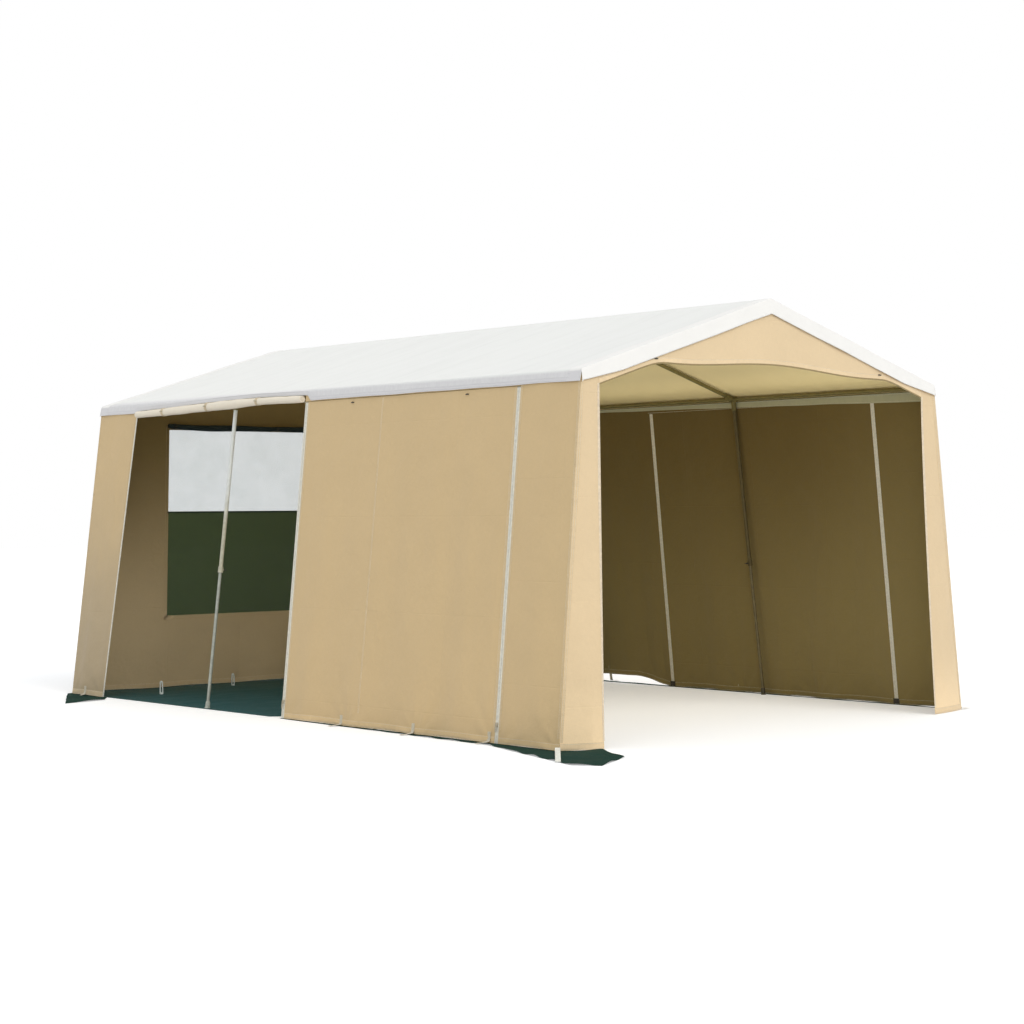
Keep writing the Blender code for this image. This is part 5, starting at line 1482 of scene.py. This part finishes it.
def upper_leg(side, arch):
    """The outer leg tube, with its clamp collar and thumb screw."""
    corner, clamp, _, down = leg_ends(side, arch)
    start = corner + down * 0.0223
    length = np.linalg.norm(clamp - start)
    inward = np.array((0, -SIDES[side], 0.0))
    inward = unit(inward - (inward @ down) * down)
    across = np.cross(inward, down)
    middle = clamp - down * 0.020
    thread = [(0.0208 + 0.0008 * k, 0.0038 if k % 2 else 0.0032) for k in range(12)]
    parts = [
        turned(hollow(length - 0.001, TUBE, TUBE_BORE), start, down),
        turned(from_end(length, COLLAR), start, down, 28),
        turned(BOSS, middle, inward, 20),
        turned(((0.019, 0), (0.019, 0.0036), *thread, (0.0306, 0)), middle, inward, 14, 1),
        turned(KNOB, middle, inward, 18, 1),
    ]
    for way in (-1, 1):
        centre = middle + inward * 0.0345 + across * way * 0.0095
        parts.append(block((0.013, 0.012, 0.0034), centre, across, inward, down, 1, 0.6))
    name = f"upper_leg_{side}_{arch}"
    piece(f"{name}_tube", parts, (leg_steel[side][0], plastic_dark), "tent", (name,), "frame_steel")


def lower_leg(side, arch):
    """The inner leg tube, which slides in the outer one, with its moulded foot and a thin ring as a mark."""
    _, clamp, foot, down = leg_ends(side, arch)
    start = clamp - down * 0.16
    length = np.linalg.norm(foot - start)
    mark = hollow(0.0012, INNER_TUBE + 0.00015, INNER_TUBE - 0.0004, 0.0001)
    parts = [
        turned(hollow(length - 0.012, INNER_TUBE, 0.0089), start, down),
        turned(from_end(length, BOOT), start, down, 24, 1),
        turned(BASE, foot, (0, 0, 1), 28, 1),
        turned(mark, clamp + down * 0.055, down, 24, 1),
    ]
    name = f"lower_leg_{side}_{arch}"
    piece(f"{name}_tube", parts, leg_steel[side][1:], f"leg_{side}_{arch}", (name,), "leg_steel")


def ridge_fitting(arch):
    """The crest joint of an arch: a sleeve for the ridge pole and a socket for each rafter."""
    crest = np.array((ARCH_X[arch], 0, CREST_Z))
    parts = fitting(crest, [unit(arch_corner(side, arch) - crest) for side in SIDES], SLEEVE_BORE)
    name = f"ridge_fitting_{arch}"
    piece(f"{name}_steel", parts, (steel,), "tent", (name,), "frame_steel")


def pole(name, y, z):
    """A pole along the tent in three lengths, with a pressed ring at each joint and an end cap."""
    half = HALF_LENGTH - SEAT
    outer = [(0.0, TUBE_BORE), (0.0, 0.0122), (0.0006, TUBE)]
    for place in (half - POLE_JOINT, half + POLE_JOINT):
        outer += [(place + along, TUBE - sunk) for along, sunk in JOINT]
    outer += [(2 * half - 0.0006, TUBE), (2 * half, 0.0122), (2 * half, TUBE_BORE), (0.0, TUBE_BORE)]
    parts = [turned(outer, (-half, y, z), (1, 0, 0), 28)]
    parts += [turned(CAP, (-way * half, y, z), (way, 0, 0), 24, 1) for way in (1, -1)]
    piece(f"{name}_tube", parts, (steel, plastic_dark), "tent", (name,), "frame_steel")


def frame_steel():
    """Four arches with their legs, joined by the ridge pole and two eave poles."""
    for arch in ARCH_X:
        ridge_fitting(arch)
        for side in SIDES:
            rafter(side, arch)
            upper_leg(side, arch)
            lower_leg(side, arch)
    pole("ridge_pole", 0, CREST_Z)
    for side in SIDES:
        pole(f"eave_pole_{side}", SIDES[side] * CORNER_Y, CORNER_Z)


# Zips


def zip_frame(side, name):
    """The foot of a zip, its length, and the ways along it, across it and out of the wall."""
    foot, head = (np.array((line_x(name, z), SIDES[side] * wall_y(z), z)) for z in (HEM_CLEAR, HINGE_Z - 0.005))
    along = unit(head - foot)
    across = unit(np.array((1.0, 0, 0)) - along[0] * along)
    out = np.cross(along, across)
    return foot, np.linalg.norm(head - foot), along, across, out * np.sign(out[1]) * SIDES[side]


def zip_teeth_row(side, name, half):
    """One half's teeth: a small block at each step up the tape. One half's are set half a step higher."""
    foot, length, along, across, out = zip_frame(side, name)
    place = np.arange(0.010, length - 0.006, TOOTH_PITCH) + (TOOTH_PITCH / 2 if half > 0 else 0)
    corners = np.array([(i, j, k) for k in (0, 1) for j in (0, 1) for i in (0, 1)], float)
    start = np.array((-0.0012 if half > 0 else -0.0030, -0.0004875, -0.0019))
    shape = (start + corners * (0.0042, 0.000975, 0.0036)) @ np.stack((across, along, out))
    points = (foot + place[:, None] * along)[:, None] + shape
    quads = np.array(((0, 2, 3, 1), (4, 5, 7, 6), (0, 1, 5, 4), (2, 6, 7, 3), (0, 4, 6, 2), (1, 3, 7, 5)))
    if np.linalg.det(np.stack((across, along, out))) < 0:
        quads = quads[:, ::-1]
    faces = (8 * np.arange(len(place))[:, None, None] + quads[None]).reshape(-1, 4)
    flat = points.reshape(-1, 3)
    return flat, faces, np.full(len(faces), 1), flat[:, [0, 2]]


def zip_parts(side, name, halves):
    """Both tapes, or one, their rows of teeth, and the stops at their ends. A tape is flat, a little raised beside
    the teeth, and ripples softly."""
    foot, length, along, across, out = zip_frame(side, name)
    parts = []
    height = np.linspace(0, length, 97)[:, None]
    for half in halves:
        a = half * np.linspace(0.0009, ZIP_HALF, 6)
        level = 0.00015 * ripple(height, a * 8, 161, 0.2) + 0.0004 * (np.abs(a) < 0.004) - 0.0004
        points = foot + a[:, None] * across + height[..., None] * along + level[..., None] * out
        parts.append(shell(points, out, TAPE, (a, height), slots=(0, 0)))
        parts.append(zip_teeth_row(side, name, half))
        for place in (0.004, length - 0.004):
            centre = foot + along * place + across * half * 0.0022
            parts.append(block((0.0036, 0.006, 0.0040), centre, across, along, out, 1, 0.5))
    return parts


def zips():
    """Zip tapes with their teeth; the sliders keep their own shape and get a rounded edge and their metal."""
    for side, name in (("near", "rear"), ("near", "middle"), ("near", "front"), ("far", "middle"), ("far", "front")):
        parts = zip_parts(side, name, (-1,) if name == "rear" else (-1, 1))
        body = "near_side_door" if (side, name) == ("near", "middle") else "tent"
        node = f"zip_{side}_{name}"
        piece(f"{node}_tape", parts, (zip_tape[side], zip_teeth), body, (node,), "zip")
    for side in SIDES:
        for name in ("middle", "front"):
            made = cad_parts[f"slider_{side}_{name}"]
            made.data.materials.clear()
            made.data.materials.append(brass)
            edge = made.modifiers.new("edge", "BEVEL")
            edge.width = 0.0005
            edge.segments = 2
            edge.limit_method = "ANGLE"


# Webbing, toggles and elastics


def peg_loop(wall, fraction, reach=0.085):
    """A webbing loop sewn over the hem: down the outside, then outwards over the flap and back beneath itself."""
    hem = float(wall.hem(fraction)) - HEM_CLEAR
    high, low = wall.at(fraction, 0.062 + hem, 0.0020), wall.at(fraction, 0.020 + hem, 0.0022)
    x, y, _ = low
    y = y + wall.sign * 0.1 * hem
    run = (0.006, 0.0105), (0.030, 0.0080), (reach, 0.0062), (reach + 0.004, 0.0048), (reach, 0.0036)
    knots = [high, low, *((x, y + wall.sign * out, z) for out, z in run)]
    return strap_along(knots, 40, (0, wall.sign * 0.5, 1.0), 0.026, (1, 0, 0))


def corner_strap():
    """The near front corner's long strap: from the hem's corner over the flap towards its peg, back beneath
    itself."""
    run = (
        *((0, 0.022), (0.014, 0.0172), (0.12, 0.0170), (0.30, 0.0185), (0.42, 0.0170)),
        *((0.475, 0.0085), (0.500, 0.0066), (0.504, 0.0052), (0.480, 0.0040)),
    )
    knots = [(2.535 + 0.750 * along, -1.682 - 0.661 * along, height) for along, height in run]
    return strap_along(knots, 70, (0.2, -0.2, 1.0), 0.028, (0.661, 0.750, 0), slot=1)


def loops(side):
    """Peg loops along the hems, the near front corner's strap, and the toggles just under the valance, on the
    door's outer face."""
    door, rear = door_of(side), rear_of(side)
    parts = [peg_loop(door, (place - ZIP_EDGE) / door.width) for place in (0.61, 1.30, 1.945)]
    for place in (0.48, 1.56):
        centre = door.at((place - ZIP_EDGE) / door.width, 1.908, 0.0042)
        parts += toggle(centre, (1, 0, 0), (0, -door.sign, 0), 1)
    piece(f"{side}_door_loops", parts, (strap_cream, plastic_dark), f"{side}_side_door", (), "zip")
    if side == "near":
        parts = [corner_strap(), peg_loop(rear, 0.5, 0.03)]
    else:
        parts = [peg_loop(front_of(side), 0.97)]
        parts += [peg_loop(rear, fraction, 0.07) for fraction in (0.02, 0.25, 0.5, 0.75, 0.985)]
    piece(f"{side}_wall_loops", parts, (strap_cream, strap_pale), "tent", (), "zip")


def eave_strip(side):
    """The pale strip sewn inside an eave, wider towards the front, and the seam tape over the door's top seam."""
    way = SIDES[side]
    x, level = np.linspace(0.02 if side == "near" else -2.45, 2.45, 121), np.linspace(0, 1, 5)[:, None]
    low = np.interp(x, (-2.5, -0.65, 0.35, 1.7, 2.4), (1.957, 1.953, 1.942, 1.921, 1.907))
    low = low + 0.0012 * ripple(x, 0 * x, 171, 0.3)
    z = low + (1.971 - low) * level
    strip = grid_of(x, way * (wall_y(z) - CANVAS - 0.0018), z)
    parts = [shell(strip, (0, -way, 0), 0.0009, (x, level * HEM_WIDTH), slots=(0, 0))]
    over, z = np.linspace(ZIPS["middle"][0] - 0.03, ZIPS["front"][0] + 0.03, 101), 1.922 + 0.034 * level
    tape = grid_of(over, way * (wall_y(z) - CANVAS - 0.0007), z)
    parts.append(shell(tape, (0, -way, 0), TAPE, (over, level * FACING), slots=(1, 1)))
    piece(f"{side}_eave_strip", parts, (eave_tape, tape_inside), "tent", (), "canvas")


def elastics():
    """The two elastics at the rear wall's foot, each a narrow loop out of a small socket. Round the loop its height
    goes with the sine and its width with the root of the cosine."""
    parts = []
    for x, y in ((-2.042, -1.275), (-2.288, -0.528)):
        angle = np.linspace(0, math.pi, 41)
        aside = 0.0085 * np.sign(np.cos(angle)) * np.abs(np.cos(angle)) ** 0.5
        path = np.stack((x + 0.65 * aside, y + 0.76 * aside, 0.006 + 0.086 * np.sin(angle) ** 0.8), -1)
        parts.append(pipe(path, 0.0042, 12))
        profile = (0, 0), (0, 0.006), (0.003, 0.0068), (0.012, 0.0055), (0.014, 0)
        parts.append(turned(profile, (x, y, 0.0040), (0, 0, 1), 16))
    piece("floor_elastics", parts, (elastic,), "tent", (), "zip")


def zip_feet():
    """A dark tab of doubled webbing at the foot of each far zip, on the inside, where both tapes end."""
    z, a = np.linspace(0.006, 0.040, 9)[:, None], np.linspace(-0.024, 0.024, 7)
    parts = []
    for name in ("middle", "front"):
        grid = grid_of(line_x(name, z) + a, wall_y(z) - CANVAS - 0.0030 - 0.0006 * np.cos(60 * a), z)
        parts.append(shell(grid, (0, -1, 0), 0.0011, (a, z), slots=(0, 0)))
    piece("far_zip_tabs", parts, (strap_dark,), "tent", (), "zip")


frame_steel()
side_walls()
rear_end()
roof()
front_end()
rolled_door()
groundsheet()
mud_flaps()
zips()
for side in SIDES:
    loops(side)
    eave_strip(side)
elastics()
zip_feet()


# Floor, light and camera


def studio():
    """A pale floor and a soft sky, both white where the camera, gloss or glass looks past the tent."""
    mesh = bpy.data.meshes.new("floor")
    reach = 60.0
    corners = [(-reach, -reach, 0), (reach, -reach, 0), (reach, reach, 0), (-reach, reach, 0)]
    mesh.from_pydata(corners, [], [(0, 1, 2, 3)])
    floor = bpy.data.objects.new("floor", mesh)
    bpy.context.scene.collection.objects.link(floor)
    pale = Finish("pale floor", roughness=1.0, specular_ior_level=0.0)
    grain = pale.noise(pale.place()[0], 3.0, 4.0)
    pale.feed("Base Color", pale.mix(grain, (0.80, 0.80, 0.80), (0.84, 0.84, 0.84)))
    pale.feed("Emission Color", (1.0, 1.0, 1.0))
    pale.feed("Emission Strength", pale.node("LightPath", out="Is Camera Ray") * 0.32)
    mesh.materials.append(pale.made)
    world = bpy.data.worlds.new("studio")
    bpy.context.scene.world = world
    world.use_nodes = True
    tree = world.node_tree
    sky, white = tree.nodes["Background"], tree.nodes.new("ShaderNodeBackground")
    for light, color, strength in ((sky, (0.93, 0.96, 1.0, 1), 0.80), (white, (1, 1, 1, 1), 1.0)):
        light.inputs["Color"].default_value = color
        light.inputs["Strength"].default_value = strength
    rays = tree.nodes.new("ShaderNodeLightPath").outputs
    past = rays["Is Camera Ray"]
    for name in ("Is Transmission Ray", "Is Glossy Ray"):
        total = tree.nodes.new("ShaderNodeMath")
        total.operation = "ADD"
        total.use_clamp = True
        tree.links.new(past, total.inputs[0])
        tree.links.new(rays[name], total.inputs[1])
        past = total.outputs[0]
    mix = tree.nodes.new("ShaderNodeMixShader")
    for socket, entry in zip((past, sky.outputs[0], white.outputs[0]), mix.inputs):
        tree.links.new(socket, entry)
    tree.links.new(mix.outputs[0], tree.nodes["World Output"].inputs["Surface"])


def stand(data, right, above, back, place=(0, 0, 0)):
    """An object for a light or a lens, turned by its three axes and stood at a place in the scene."""
    made = bpy.data.objects.new(data.name, data)
    rows = np.stack((right, above, back, place), -1)
    made.matrix_world = Matrix([list(row) for row in rows] + [[0, 0, 0, 1]])
    bpy.context.scene.collection.objects.link(made)
    return made


def sun(name, towards, strength, angle, color):
    """A soft sun that shines the way it is pointed."""
    light = bpy.data.lights.new(name, "SUN")
    light.energy = strength
    light.angle = math.radians(angle)
    light.color = color
    back = -unit(towards)
    side = unit(np.cross((0, 0, 1.0), back))
    stand(light, side, np.cross(back, side), back)


def glow():
    """Soft light under the roof, as white cloth lets through. It shines up at the lining alone."""
    light = bpy.data.lights.new("roof glow", "AREA")
    light.shape = "RECTANGLE"
    light.size, light.size_y = 4.7, 2.6
    light.energy = 16.0
    light.color = (1.0, 0.96, 0.88)
    lamp = stand(light, (1, 0, 0), (0, -1, 0), (0, 0, -1), (0.11, 0, 1.93))
    lamp.visible_camera = lamp.visible_glossy = lamp.visible_transmission = False


def camera():
    """The camera, solved from the photograph's edges: place, yaw, pitch, roll and lens."""
    yaw, pitch, roll = math.radians(49.564), math.radians(-0.050), math.radians(-0.444)
    look = np.array((-math.sin(yaw) * math.cos(pitch), math.cos(yaw) * math.cos(pitch), math.sin(pitch)))
    right = np.array((math.cos(yaw), math.sin(yaw), 0))
    above = np.cross(right, look)
    right, above = right * math.cos(roll) + above * math.sin(roll), above * math.cos(roll) - right * math.sin(roll)
    lens = bpy.data.cameras.new("photograph")
    lens.sensor_width = 36
    lens.lens = 76.92
    lens.clip_end = 200
    bpy.context.scene.camera = stand(lens, right, above, -look, (11.041, -9.229, 1.258))


studio()
sun("key", (-0.75, 0.0, -0.66), 1.1, 35, (1.0, 0.97, 0.92))
sun("fill", (-0.50, 0.75, -0.42), 0.35, 60, (1.0, 0.98, 0.95))
glow()
camera()
bpy.context.scene.view_settings.view_transform = "Standard"
